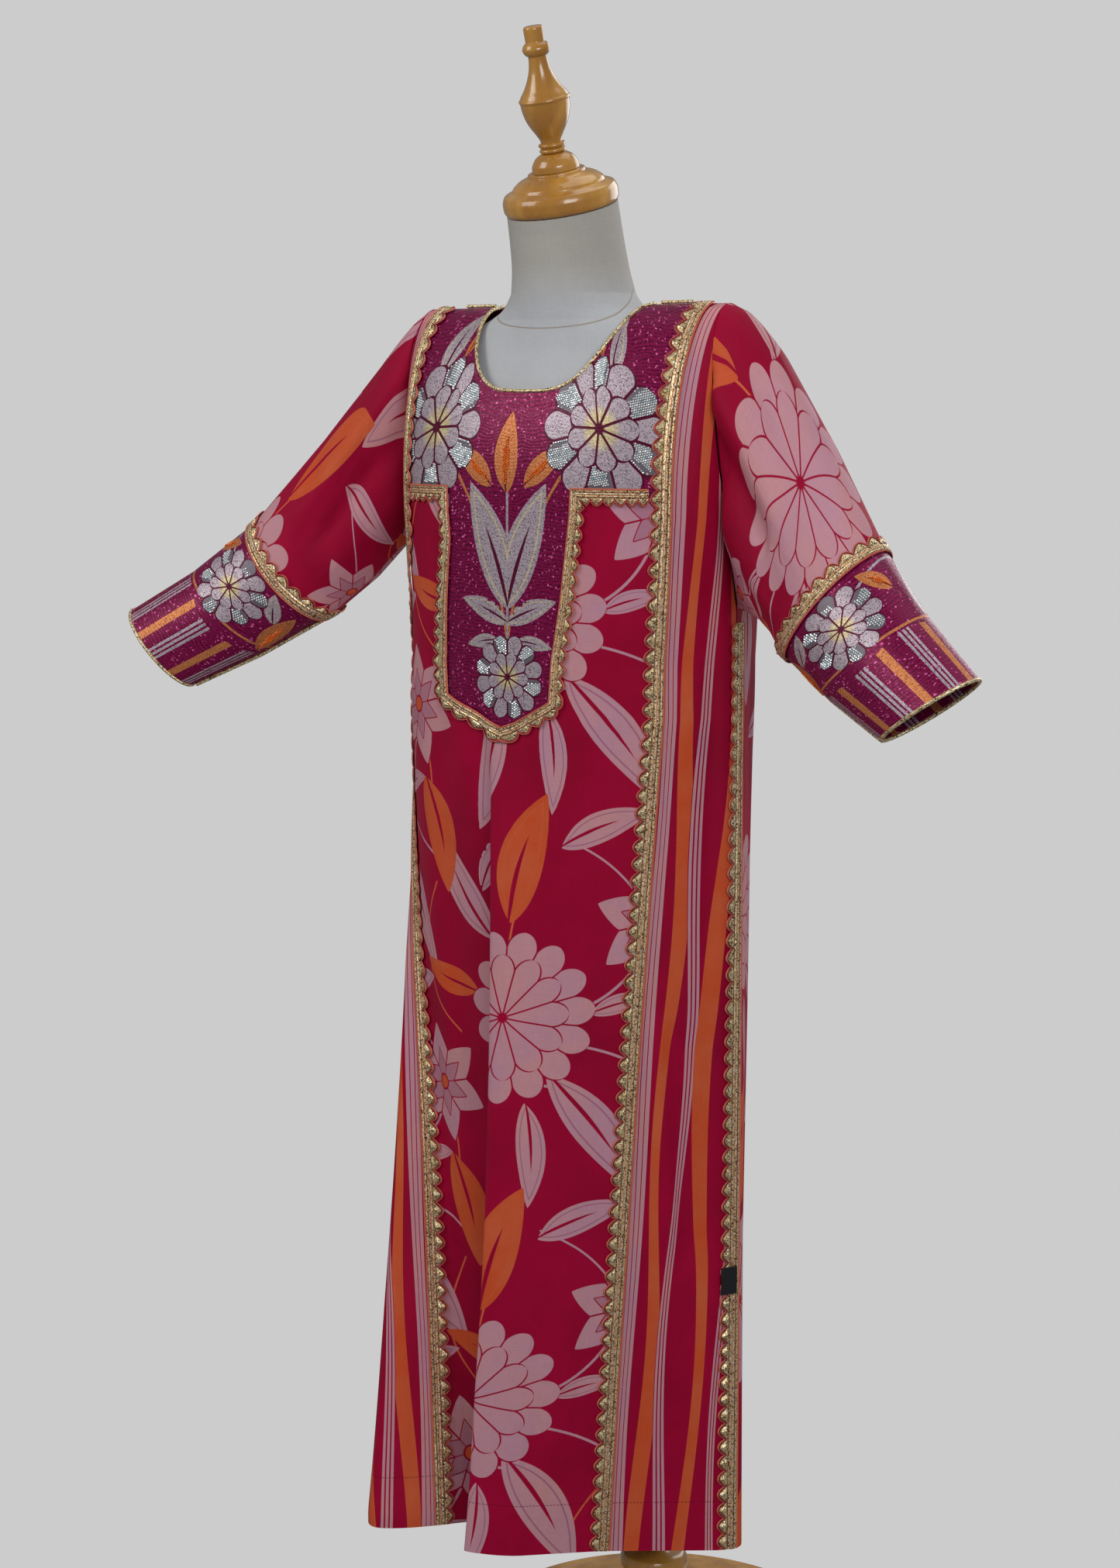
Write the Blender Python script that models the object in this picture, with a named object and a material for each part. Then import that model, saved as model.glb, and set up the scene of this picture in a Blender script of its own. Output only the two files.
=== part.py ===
"""A child's kandura on a limbless dress form.

Metres, +Z up. The origin is on the floor under the middle of the round base.
The garment's front faces -Y and the wearer's left is +X.

The cloth is one surface, body_point(station, height). A station runs round
the garment: 0 is the centre front, 1 the left front trim, 2 the left side
seam, 4 the centre back, and the right side has the same numbers below 0.
Each panel is a thin wall on a stretch of that surface, and what is sewn on a
panel is made from the panel's points, moved out.
"""
import math

import bpy
import bmesh
import numpy as np
from mathutils import Matrix, Vector

# Driving sizes of the garment
SHOULDER_HEIGHT = 1.240
HEM_HEIGHT = 0.164
BODY_MIDDLE_X = -0.040
BODY_MIDDLE_Y = -0.077
NECK_STATION = 0.477
FRONT_NECK_HEIGHT = 1.167
BACK_NECK_HEIGHT = 1.216
NECK_SQUARENESS = 2.8
FRONT_ROOF = 0.160
BACK_ROOF = 0.120
ARMHOLE_TOP_ANGLE = 61.0
UNDERARM_HEIGHT = {1: 0.990, -1: 1.038}

# Cloth and gaps
CLOTH = 0.0012
SEAM_GAP = 0.0005
SHOULDER_SHIFT = 0.0005
TRIM_LIFT = 0.0015
SIDE_TRIM_LIFT = 0.0011
TRIM_CLOTH = 0.0012

# Gold scalloped trim
TRIM_WIDTH = 0.019
TOOTH = 0.005
PITCH = 0.0165

# Yoke and placket, in stations and heights
YOKE_LOW = 1.082
PLACKET_MIDDLE = -0.05
PLACKET_HALF = 0.34
PLACKET_CORNER_HEIGHT = 0.907
PLACKET_TIP_HEIGHT = 0.879
YOKE_TRIM_WIDTH = 0.015
YOKE_TOOTH = 0.004
FRONT_SPEED = 0.139

# Angle round the body, from the front, of the trims and side seams. The
# front panel lies a little to the right, and more so lower down.
PANEL_ANGLES = [
    # height, left trim, left side seam, right trim, right side seam
    (0.164, 45.0, 86.0, 88.0, 115.0),
    (0.460, 46.0, 87.0, 85.0, 112.0),
    (0.660, 46.5, 87.5, 81.0, 109.0),
    (0.800, 47.0, 88.0, 80.0, 108.0),
    (0.940, 47.0, 88.0, 78.0, 106.0),
    (0.995, 47.0, 88.0, 65.0, 98.0),
    (1.045, 47.0, 88.0, 52.0, 91.0),
    (1.240, 47.0, 88.0, 46.0, 88.0),
]

# Sections of the body: half widths to the left and right, depth in front of and
# behind the middle, and the exponent of the rounded outline
SECTIONS = [
    # height, left half width, right half width, front, back, squareness
    (0.164, 0.1640, 0.1720, 0.096, 0.090, 2.0),
    (0.666, 0.1640, 0.1720, 0.094, 0.090, 2.0),
    (0.776, 0.1635, 0.1700, 0.093, 0.090, 2.0),
    (0.866, 0.1635, 0.1670, 0.092, 0.090, 2.05),
    (0.946, 0.1640, 0.1610, 0.092, 0.090, 2.15),
    (0.996, 0.1650, 0.1565, 0.092, 0.090, 2.4),
    (1.066, 0.1670, 0.1600, 0.092, 0.092, 2.6),
    (1.240, 0.1680, 0.1680, 0.092, 0.097, 2.6),
]

# Plan of the hem. The front drops in one deep knife fold: the cloth goes back
# to the crease and comes forward again to the ridge.
HEM_PLAN = [
    # station, x, y, lift of the hem, how far the corner is rounded
    (-4.00, -0.070, 0.052, 0.000, 0.35),
    (-3.50, -0.130, 0.035, -0.003, 0.30),
    (-3.00, -0.183, -0.005, -0.006, 0.25),
    (-2.50, -0.214, -0.066, -0.009, 0.20),
    (-2.00, -0.216, -0.143, -0.010, 0.15),
    (-1.80, -0.208, -0.167, -0.010, 0.10),
    (-1.50, -0.186, -0.195, -0.010, 0.10),
    (-1.25, -0.161, -0.180, -0.010, 0.10),
    (-1.00, -0.135, -0.152, -0.010, 0.08),
    (-0.88, -0.116, -0.130, -0.009, 0.06),
    (-0.39, -0.052, -0.104, -0.006, 0.07),
    (0.23, -0.075, -0.207, 0.000, 0.05),
    (0.42, -0.034, -0.193, 0.000, 0.08),
    (1.00, 0.027, -0.136, 0.000, 0.10),
    (2.00, 0.117, -0.071, 0.000, 0.10),
    (2.15, 0.124, -0.057, 0.000, 0.06),
    (2.50, 0.093, -0.015, 0.001, 0.20),
    (3.00, 0.045, 0.027, 0.002, 0.25),
    (3.50, -0.010, 0.049, 0.001, 0.30),
    (4.00, -0.070, 0.052, 0.000, 0.35),
]
FLARE_TOP = 0.900

# The knife fold down the front, as stations at each height. It starts beside
# the placket's point and its ridge hides more of the cloth lower down.
FOLD = [
    # height, ridge, crease
    (0.164, 0.230, -0.390),
    (0.280, 0.100, -0.390),
    (0.440, 0.020, -0.330),
    (0.610, -0.030, -0.230),
    (0.790, -0.085, -0.165),
    (0.946, -0.100, -0.150),
]

# Sleeves: the upper and lower edge at each place down the arm, across from
# the body's middle. The left one hangs lower under the arm than the right.
SLEEVE = {
    1: [
        # place, upper across, upper height, lower across, lower height, y, half depth
        (0.0, 0.152, 1.238, 0.166, 0.990, -0.077, 0.040),
        (0.5, 0.181, 1.228, 0.180, 0.985, -0.078, 0.046),
        (1.0, 0.203, 1.198, 0.192, 0.980, -0.081, 0.048),
        (2.0, 0.257, 1.127, 0.213, 0.970, -0.095, 0.048),
        (3.0, 0.318, 1.048, 0.236, 0.959, -0.121, 0.044),
        (4.0, 0.374, 0.996, 0.294, 0.928, -0.148, 0.037),
        (5.0, 0.430, 0.955, 0.352, 0.903, -0.173, 0.030),
    ],
    -1: [
        # place, upper across, upper height, lower across, lower height, y, half depth
        (0.0, 0.152, 1.238, 0.160, 1.038, -0.077, 0.040),
        (0.5, 0.176, 1.224, 0.176, 1.040, -0.078, 0.044),
        (1.0, 0.199, 1.196, 0.192, 1.028, -0.081, 0.044),
        (2.0, 0.256, 1.128, 0.213, 1.000, -0.095, 0.044),
        (3.0, 0.318, 1.053, 0.238, 0.970, -0.121, 0.040),
        (4.0, 0.374, 1.006, 0.299, 0.933, -0.148, 0.031),
        (5.0, 0.429, 0.970, 0.360, 0.903, -0.173, 0.023),
    ],
}
CUFF_PLACE = 3.0

# Rows down the body, as parts of the way between four marks: the top edge,
# the yoke's lower edge, the underarm, the placket's point and the hem
YOKE_ROWS = (0.0, 0.019, 0.075, 0.17, 0.29, 0.43, 0.60, 0.80)
UNDERARM_ROWS = (0.0, 0.5)
PLACKET_ROWS = (0.0, 0.35, 0.70)
SKIRT_ROWS = 9

# Columns of the front, as stations. The placket's edges are two of them.
FRONT_COLUMNS = [
    # beside the yoke, beside the placket's point
    (-1.000, -1.000),
    (-0.860, -0.860),
    (-0.700, -0.700),
    (-0.560, -0.550),
    (-0.477, -0.450),
    (-0.450, -0.390),
    (-0.340, -0.290),
    (-0.210, -0.200),
    (-0.150, -0.150),
    (-0.132, -0.136),
    (-0.118, -0.122),
    (-0.108, -0.109),
    (-0.100, -0.100),
    (-0.040, -0.050),
    (0.060, 0.030),
    (0.160, 0.120),
    (0.260, 0.210),
    (0.350, 0.290),
    (0.430, 0.390),
    (0.477, 0.450),
    (0.600, 0.600),
    (0.800, 0.800),
    (1.000, 1.000),
]
PLACKET_COLUMNS = (5, 17)
SIDE_COLUMNS = 6
BACK_NECK_COLUMNS = (0.30, 0.43, NECK_STATION)
BACK_COLUMNS = (-1.0, -0.95, -0.88, -0.76, -0.60, -0.45, -0.11, 0.0, 0.11, 0.45, 0.60, 0.76, 0.88, 0.95, 1.0)

# Dress form: a covered torso that leans on its pole
FORM_GAP = 0.0003
TORSO = [
    # height, half width, half depth, middle x, middle y, squareness
    (0.656, 0.098, 0.062, -0.030, -0.062, 2.2),
    (0.662, 0.112, 0.074, -0.030, -0.062, 2.2),
    (0.680, 0.119, 0.0812, -0.030, -0.063, 2.2),
    (0.726, 0.123, 0.0835, -0.031, -0.065, 2.2),
    (0.796, 0.120, 0.0820, -0.033, -0.068, 2.2),
    (0.876, 0.112, 0.077, -0.035, -0.071, 2.2),
    (0.966, 0.116, 0.079, -0.037, -0.073, 2.2),
    (1.046, 0.124, 0.081, -0.039, -0.074, 2.2),
    (1.116, 0.130, 0.081, -0.040, -0.0745, 2.2),
    (1.151, 0.133, 0.077, -0.040, -0.0745, 2.2),
    (1.178, 0.133, 0.067, -0.040, -0.0745, 2.2),
    (1.202, 0.126, 0.051, -0.040, -0.0745, 2.1),
    (1.218, 0.108, 0.0445, -0.040, -0.0745, 1.9),
    (1.228, 0.086, 0.0430, -0.040, -0.0760, 1.7),
    (1.2365, 0.068, 0.0460, -0.040, -0.0775, 1.8),
    (1.250, 0.0550, 0.0520, -0.040, -0.0800, 2.0),
    (1.271, 0.0505, 0.0498, -0.040, -0.085, 2.0),
    (1.296, 0.0485, 0.0484, -0.040, -0.092, 2.0),
]
NECK_TOP = Vector((-0.040, -0.099, 1.321))
NECK_TILT = math.radians(16.5)
NECK_TOP_RADIUS = 0.0472
TORSO_SIDES = 24

BASE_PROFILE = [
    # height, radius
    (0.000, 0.168), (0.005, 0.174), (0.016, 0.178), (0.027, 0.176), (0.034, 0.169),
    (0.035, 0.157), (0.039, 0.149), (0.041, 0.060), (0.041, 0.045),
]
POLE_FOOT = Vector((0.0, 0.0, 0.041))
POLE_HEAD = Vector((-0.024, -0.050, 0.656))
POLE_PROFILE = [
    # part of the way up, radius
    (0.000, 0.036), (0.015, 0.038), (0.030, 0.036), (0.042, 0.029), (0.085, 0.0275),
    (0.100, 0.031), (0.115, 0.0275), (0.122, 0.0125), (0.960, 0.0125), (0.970, 0.022), (1.000, 0.022),
]
CAP_PROFILE = [
    # height along the neck's axis, radius
    (0.0000, 0.044), (0.0010, 0.0470), (0.0050, 0.0490), (0.0110, 0.0490), (0.0165, 0.0465),
    (0.0190, 0.0415), (0.0195, 0.0395), (0.0260, 0.0330), (0.0290, 0.0260), (0.0293, 0.0246),
    (0.0315, 0.0240), (0.0320, 0.0195),
]
FINIAL_PROFILE = [
    # height along the neck's axis, radius
    (0.0323, 0.0200), (0.0380, 0.0193), (0.0430, 0.0160), (0.0460, 0.0115), (0.0465, 0.0088),
    (0.0490, 0.0110), (0.0510, 0.0092), (0.0535, 0.0112), (0.0555, 0.0088), (0.0640, 0.0125),
    (0.0760, 0.0185), (0.0850, 0.0205), (0.0895, 0.0209), (0.0910, 0.0217), (0.0925, 0.0209),
    (0.1000, 0.0160), (0.1095, 0.0112), (0.1210, 0.0082), (0.1265, 0.0080), (0.1290, 0.0105),
    (0.1320, 0.0118), (0.1350, 0.0105), (0.1370, 0.0082), (0.1490, 0.0082), (0.1505, 0.0070),
]

# Small pieces
CORD_RADIUS = 0.0016
CORD_SIDES = 5
LABEL_HEIGHT = 0.411
LABEL_SIZE = (0.014, 0.024)
LABEL_CLOTH = 0.0010

# Colours: red, green, blue, roughness, metallic
FINISHES = {
    "cerise_cloth": (0.42, 0.004, 0.055, 0.70, 0.0),
    "striped_cloth": (0.55, 0.06, 0.05, 0.70, 0.0),
    "embroidery": (0.22, 0.01, 0.12, 0.45, 0.2),
    "gold_trim": (0.62, 0.52, 0.28, 0.35, 0.8),
    "linen": (0.58, 0.60, 0.57, 0.85, 0.0),
    "turned_wood": (0.55, 0.24, 0.05, 0.22, 0.0),
    "label_cloth": (0.01, 0.01, 0.012, 0.60, 0.0),
}


def clear_scene():
    for thing in list(bpy.data.objects):
        bpy.data.objects.remove(thing, do_unlink=True)


def material(name):
    """One Principled material for each finish."""
    found = bpy.data.materials.get(name)
    if found:
        return found
    red, green, blue, rough, metal = FINISHES[name]
    made = bpy.data.materials.new(name)
    made.use_nodes = True
    shader = made.node_tree.nodes["Principled BSDF"]
    shader.inputs["Base Color"].default_value = (red, green, blue, 1.0)
    shader.inputs["Roughness"].default_value = rough
    shader.inputs["Metallic"].default_value = metal
    return made


def add_mesh(name, points, faces, finish):
    """Make one named object, with its faces pointing out."""
    mesh = bpy.data.meshes.new(name)
    mesh.from_pydata([tuple(point) for point in points], [], faces)
    work = bmesh.new()
    work.from_mesh(mesh)
    bmesh.ops.recalc_face_normals(work, faces=work.faces)
    work.to_mesh(mesh)
    work.free()
    mesh.shade_smooth()
    mesh.set_sharp_from_angle(angle=math.radians(40))
    mesh.materials.append(material(finish))
    made = bpy.data.objects.new(name, mesh)
    bpy.context.scene.collection.objects.link(made)
    return made


def column(rows, index):
    return np.array([row[index] for row in rows], float)


def smooth_step(value):
    value = np.clip(value, 0.0, 1.0)
    return value * value * (3.0 - 2.0 * value)


def section_value(height, index):
    return np.interp(height, column(SECTIONS, 0), column(SECTIONS, index))


def angle_value(height, index):
    return np.interp(height, column(PANEL_ANGLES, 0), column(PANEL_ANGLES, index))


def fold_value(height, index):
    return np.interp(height, column(FOLD, 0), column(FOLD, index))


def hem_value(station, index):
    """Value of the hem plan, the mean of five places so that corners are round."""
    station = (np.asarray(station, float) + 4.0) % 8.0 - 4.0
    stations = column(HEM_PLAN, 0)
    stations = np.concatenate((stations[:-1] - 8.0, stations, stations[1:] + 8.0))
    values = column(HEM_PLAN, index)
    values = np.concatenate((values[:-1], values, values[1:]))
    reach = np.interp(station, column(HEM_PLAN, 0), column(HEM_PLAN, 4))
    total = 0.0
    for step in (-1.0, -0.5, 0.0, 0.5, 1.0):
        total = total + np.interp(station + step * reach, stations, values)
    return total / 5.0


def panel_angle(station, height):
    """Angle round the body, from the front, without its sign."""
    left = station > 0.0
    trim = np.where(left, angle_value(height, 1), angle_value(height, 3))
    seam = np.where(left, angle_value(height, 2), angle_value(height, 4))
    part = np.abs(station)
    in_front = trim * part
    beside_trim = trim + (seam - trim) * (part - 1.0)
    behind = seam + (180.0 - seam) * (part - 2.0) * 0.5
    return np.where(part < 1.0, in_front, np.where(part < 2.0, beside_trim, behind))


def move_fold(station, old, new):
    """Stretch the front panel's stations so that its fold moves from one place to another.

    old and new are a ridge and a crease each. Stations beyond the panel stay.
    """
    old_ridge, old_crease = old
    new_ridge, new_crease = new
    right_part = (station + 1.0) / (old_crease + 1.0)
    inner_part = (station - old_crease) / (old_ridge - old_crease)
    left_part = (1.0 - station) / (1.0 - old_ridge)
    moved = np.where(station < old_ridge, new_crease + inner_part * (new_ridge - new_crease),
                     1.0 - left_part * (1.0 - new_ridge))
    moved = np.where(station < old_crease, right_part * (new_crease + 1.0) - 1.0, moved)
    return np.where(np.abs(station) < 1.0, moved, station)


def fold_at(height):
    return fold_value(height, 1), fold_value(height, 2)


def body_point(station, height):
    """Outer face of the cloth of the body, as an array of points.

    Above, a section is a rounded ellipse whose depth grows from nothing at
    the shoulder seam as a quarter of an ellipse. Below, it turns into the
    plan of the hem, with the front panel's knife fold.
    """
    station, height = np.broadcast_arrays(np.asarray(station, float), np.asarray(height, float))
    wrapped = (station + 4.0) % 8.0 - 4.0
    side = np.sign(wrapped)
    angle = np.radians(panel_angle(wrapped, height))
    half_width = np.where(side > 0.0, section_value(height, 1), section_value(height, 2))
    power = 2.0 / section_value(height, 5)
    drop = SHOULDER_HEIGHT - height
    front_round = np.sqrt(np.clip(1.0 - np.clip(1.0 - drop / FRONT_ROOF, 0.0, 1.0) ** 2, 0.0, 1.0))
    back_round = np.sqrt(np.clip(1.0 - np.clip(1.0 - drop / BACK_ROOF, 0.0, 1.0) ** 2, 0.0, 1.0))
    across = side * half_width * np.abs(np.sin(angle)) ** power
    reach = np.abs(np.cos(angle)) ** power
    in_front = np.cos(angle) > 0.0
    depth = np.where(in_front, -section_value(height, 3) * front_round, section_value(height, 4) * back_round)
    along = BODY_MIDDLE_Y + depth * reach
    fall = np.clip((FLARE_TOP - height) / (FLARE_TOP - HEM_HEIGHT), 0.0, 1.0)
    blend = fall
    turned = move_fold(wrapped, fold_at(height), fold_at(HEM_HEIGHT))
    x = (1.0 - blend) * (BODY_MIDDLE_X + across) + blend * hem_value(turned, 1)
    y = (1.0 - blend) * along + blend * hem_value(turned, 2)
    return np.stack((x, y, height), axis=-1)


def neck_edge(station, lowest):
    """Height of the top edge: the round neckline, then the level shoulder."""
    part = np.clip(np.abs(station) / NECK_STATION, 0.0, 1.0)
    return lowest + (SHOULDER_HEIGHT - lowest) * part ** NECK_SQUARENESS


def body_normal(station, height):
    """Unit normals of the body's outer face, pointing out."""
    station, height = np.broadcast_arrays(np.asarray(station, float), np.asarray(height, float))
    across = body_point(station + 0.01, height) - body_point(station - 0.01, height)
    upper = np.minimum(height + 0.001, SHOULDER_HEIGHT)
    down = body_point(station, upper - 0.002) - body_point(station, upper)
    normals = np.cross(across, -down)
    return normals / np.linalg.norm(normals, axis=-1, keepdims=True)


def row_heights(across, top, low):
    """Heights of the rows of a panel, from 1 at its left edge to -1 at its right.

    top is the height of the upper edge and low that of the placket's lower
    edge, which goes on round the body as a row.
    """
    across = np.atleast_1d(np.asarray(across, float))
    part = (across + 1.0) * 0.5
    underarm = UNDERARM_HEIGHT[-1] * (1.0 - part) + UNDERARM_HEIGHT[1] * part
    marks = [np.broadcast_to(mark, across.shape) for mark in (top, YOKE_LOW, underarm, low)]
    rows = []
    for upper, lower, parts in zip(marks, marks[1:], (YOKE_ROWS, UNDERARM_ROWS, PLACKET_ROWS)):
        rows.extend(upper + (lower - upper) * part for part in parts)
    rows.extend(marks[-1] + (HEM_HEIGHT - marks[-1]) * part for part in np.linspace(0.0, 1.0, SKIRT_ROWS + 1))
    return np.array(rows)


def lift_hem(stations, heights):
    """Let the rows near the hem follow the hem's own line."""
    part = smooth_step((YOKE_LOW - heights) / (YOKE_LOW - HEM_HEIGHT))
    return heights + hem_value(stations, 3) * part


def armhole_rows(side):
    """Heights of the rows round an armhole, from the shoulder to the underarm."""
    count = len(YOKE_ROWS) + len(UNDERARM_ROWS) + 1
    return row_heights(side, SHOULDER_HEIGHT, PLACKET_CORNER_HEIGHT)[:count, 0]


def armhole_station(height, side, behind):
    """Station of the armhole's edge, without its sign, from the shoulder down to the side seam."""
    part = (SHOULDER_HEIGHT - height) / (SHOULDER_HEIGHT - UNDERARM_HEIGHT[side])
    trim = angle_value(height, 1 if side > 0 else 3)
    seam = angle_value(height, 2 if side > 0 else 4)
    part = np.clip(part, 0.0, 1.0)
    if behind:
        angle = 180.0 - ARMHOLE_TOP_ANGLE + (seam - 180.0 + ARMHOLE_TOP_ANGLE) * part
        return 2.0 + 2.0 * (angle - seam) / (180.0 - seam)
    angle = ARMHOLE_TOP_ANGLE + (seam - ARMHOLE_TOP_ANGLE) * part
    return 1.0 + (angle - trim) / (seam - trim)


def grid_normals(grid, closed, inside):
    """Unit normals of a grid of points, pointing away from the inside point of each row."""
    down = np.gradient(grid, axis=0)
    if closed:
        across = (np.roll(grid, -1, axis=1) - np.roll(grid, 1, axis=1)) * 0.5
    else:
        across = np.gradient(grid, axis=1)
    normals = np.cross(down, across)
    normals /= np.maximum(np.linalg.norm(normals, axis=-1, keepdims=True), 1e-12)
    outward = np.sum(normals * (grid - inside), axis=-1)
    if np.median(outward) < 0.0:
        normals = -normals
    return normals


def wall(name, grid, finish, thickness, lift, normals, closed=False, keep=None):
    """A closed thin wall over a grid of points.

    lift is the height of the wall's inner face over the grid, negative for a
    panel whose outer face is the grid itself. keep says which cells exist.
    """
    rows, columns = grid.shape[:2]
    count = rows * columns
    points = np.concatenate(((grid + normals * (lift + thickness)).reshape(-1, 3),
                             (grid + normals * lift).reshape(-1, 3)))
    faces = []
    edges = {}
    cells_across = columns if closed else columns - 1
    for row in range(rows - 1):
        for col in range(cells_across):
            if keep is not None and not keep[row, col]:
                continue
            right = (col + 1) % columns
            corners = (row * columns + col, row * columns + right,
                       (row + 1) * columns + right, (row + 1) * columns + col)
            faces.append(corners)
            faces.append(tuple(corner + count for corner in reversed(corners)))
            for start, end in zip(corners, corners[1:] + corners[:1]):
                if (end, start) in edges:
                    del edges[(end, start)]
                else:
                    edges[(start, end)] = True
    for start, end in edges:
        faces.append((end, start, start + count, end + count))
    used = sorted({index for face in faces for index in face})
    new_index = {old: new for new, old in enumerate(used)}
    faces = [tuple(new_index[index] for index in face) for face in faces]
    return add_mesh(name, points[used], faces, finish)


def loft(name, rings, finish):
    """A solid through rings of points, closed by a fan at each end."""
    rows, sides = rings.shape[:2]
    points = list(rings.reshape(-1, 3))
    faces = []
    for row in range(rows - 1):
        for side in range(sides):
            after = (side + 1) % sides
            faces.append((row * sides + side, row * sides + after,
                          (row + 1) * sides + after, (row + 1) * sides + side))
    for row in (0, rows - 1):
        middle = len(points)
        points.append(rings[row].mean(axis=0))
        for side in range(sides):
            faces.append((middle, row * sides + side, row * sides + (side + 1) % sides))
    return add_mesh(name, points, faces, finish)


def turned_rings(profile, sides, place):
    """Rings of a turned piece: profile rows are height along the axis and radius."""
    angles = np.linspace(0.0, 2.0 * math.pi, sides, endpoint=False)
    rings = []
    for height, radius in profile:
        ring = [place @ Vector((radius * math.cos(a), radius * math.sin(a), height)) for a in angles]
        rings.append([tuple(point) for point in ring])
    return np.array(rings)


def tube(name, path, radius, finish, closed=False):
    """A cord along a path, round in section, its first side turned from the path's middle."""
    path = np.asarray(path, float)
    if closed:
        ahead = np.roll(path, -1, axis=0) - np.roll(path, 1, axis=0)
        guide = path - path.mean(axis=0)
    else:
        ahead = np.gradient(path, axis=0)
        guide = np.broadcast_to((0.0, 1.0, 0.0), path.shape)
    ahead /= np.linalg.norm(ahead, axis=-1, keepdims=True)
    guide = guide - ahead * np.sum(guide * ahead, axis=-1, keepdims=True)
    guide /= np.linalg.norm(guide, axis=-1, keepdims=True)
    other = np.cross(ahead, guide)
    rings = []
    for turn in range(CORD_SIDES):
        angle = 2.0 * math.pi * turn / CORD_SIDES
        rings.append(path + radius * (math.cos(angle) * guide + math.sin(angle) * other))
    rings = np.stack(rings, axis=1)
    if not closed:
        return loft(name, rings, finish)
    rows = len(path)
    faces = []
    for row in range(rows):
        for side in range(CORD_SIDES):
            after = (side + 1) % CORD_SIDES
            below = (row + 1) % rows
            faces.append((row * CORD_SIDES + side, row * CORD_SIDES + after,
                          below * CORD_SIDES + after, below * CORD_SIDES + side))
    return add_mesh(name, rings.reshape(-1, 3), faces, finish)


def front_grid(gap):
    """Stations and heights of the front, from its upper edge to the hem.

    Below the placket its columns keep to the fold. gap draws the placket's
    edges in, so that the yoke stays clear of the panel round it.
    """
    above = column(FRONT_COLUMNS, 0)
    below = column(FRONT_COLUMNS, 1)
    for index, side in zip(PLACKET_COLUMNS, (1.0, -1.0)):
        above[index] += side * gap / FRONT_SPEED
        below[index] += side * gap / FRONT_SPEED
    from_tip = np.clip(np.abs(below - PLACKET_MIDDLE) / PLACKET_HALF, 0.0, 1.0)
    low = PLACKET_TIP_HEIGHT + (PLACKET_CORNER_HEIGHT - PLACKET_TIP_HEIGHT) * from_tip + gap
    heights = row_heights(above, neck_edge(above, FRONT_NECK_HEIGHT), low)
    heights[len(YOKE_ROWS)] += gap
    at_hem = move_fold(below, fold_at(FLARE_TOP), fold_at(HEM_HEIGHT))
    heights = lift_hem(at_hem, heights)
    stations = move_fold(at_hem, fold_at(HEM_HEIGHT), fold_at(heights))
    part = np.clip((heights - PLACKET_CORNER_HEIGHT) / (YOKE_LOW - PLACKET_CORNER_HEIGHT), 0.0, 1.0)
    stations = stations + (above - below) * part
    inset = SEAM_GAP * 0.5 / FRONT_SPEED
    return np.clip(stations, inset - 1.0, 1.0 - inset), heights


def side_grid(side):
    """Side front panel: from the front trim to the armhole, then to the side seam."""
    parts = np.linspace(0.0, 1.0, SIDE_COLUMNS)
    heights = row_heights(side, SHOULDER_HEIGHT, PLACKET_CORNER_HEIGHT)
    below = heights < UNDERARM_HEIGHT[side] - 1e-6
    outer = np.where(below, 2.0, armhole_station(heights, side, False))
    inset = SEAM_GAP * 0.5 / seam_speed(side * 1.5, heights)
    stations = side * (1.0 + inset + (outer - 1.0 - 2.0 * inset) * parts)
    return stations, lift_hem(stations, heights + 0.0 * parts)


def back_grid():
    """Back panel: from side seam to side seam, with the armholes cut in."""
    reach = {}
    for side in (1, -1):
        heights = row_heights(side, SHOULDER_HEIGHT, PLACKET_CORNER_HEIGHT)
        below = heights < UNDERARM_HEIGHT[side] - 1e-6
        outer = np.where(below, 2.0, armhole_station(heights, side, True))
        reach[side] = 4.0 - outer - SEAM_GAP * 0.5 / seam_speed(side * 2.2, heights)
    necks = np.array(BACK_NECK_COLUMNS)
    necks = np.concatenate((-necks / reach[1][0, 0], necks / reach[-1][0, 0]))
    parts = np.sort(np.concatenate((BACK_COLUMNS, necks)))[None, :]
    from_middle = np.where(parts < 0.0, reach[1], reach[-1]) * parts
    stations = 4.0 + from_middle
    heights = row_heights(-parts[0], neck_edge(from_middle[0], BACK_NECK_HEIGHT), PLACKET_CORNER_HEIGHT)
    return stations, lift_hem(stations, heights)


def seam_speed(station, height):
    """Metres round the cloth for one station."""
    near = body_point(station + 0.02, height) - body_point(station - 0.02, height)
    return np.linalg.norm(near, axis=-1) / 0.04


def panel(name, stations, heights, finish, shift, keep=None):
    """One panel of the body. The front and the back stand a little apart."""
    grid = body_point(stations, heights)
    grid[..., 1] += shift
    wall(name, grid, finish, CLOTH, -CLOTH, body_normal(stations, heights), keep=keep)


def build_panels():
    for side, word in ((1, "left"), (-1, "right")):
        stations, heights = side_grid(side)
        panel("side_panel_" + word, stations, heights, "striped_cloth", -SHOULDER_SHIFT)
    stations, heights = back_grid()
    panel("back_panel", stations, heights, "cerise_cloth", SHOULDER_SHIFT)
    low_row = len(YOKE_ROWS)
    tip_row = low_row + len(UNDERARM_ROWS) + len(PLACKET_ROWS)
    stations, heights = front_grid(0.0)
    yoke = np.zeros((stations.shape[0] - 1, stations.shape[1] - 1), bool)
    yoke[:low_row] = True
    yoke[:tip_row, PLACKET_COLUMNS[0]:PLACKET_COLUMNS[1]] = True
    panel("front_panel", stations, heights, "cerise_cloth", -SHOULDER_SHIFT, ~yoke)
    stations, heights = front_grid(SEAM_GAP)
    panel("yoke", stations, heights, "embroidery", -SHOULDER_SHIFT, yoke)


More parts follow.
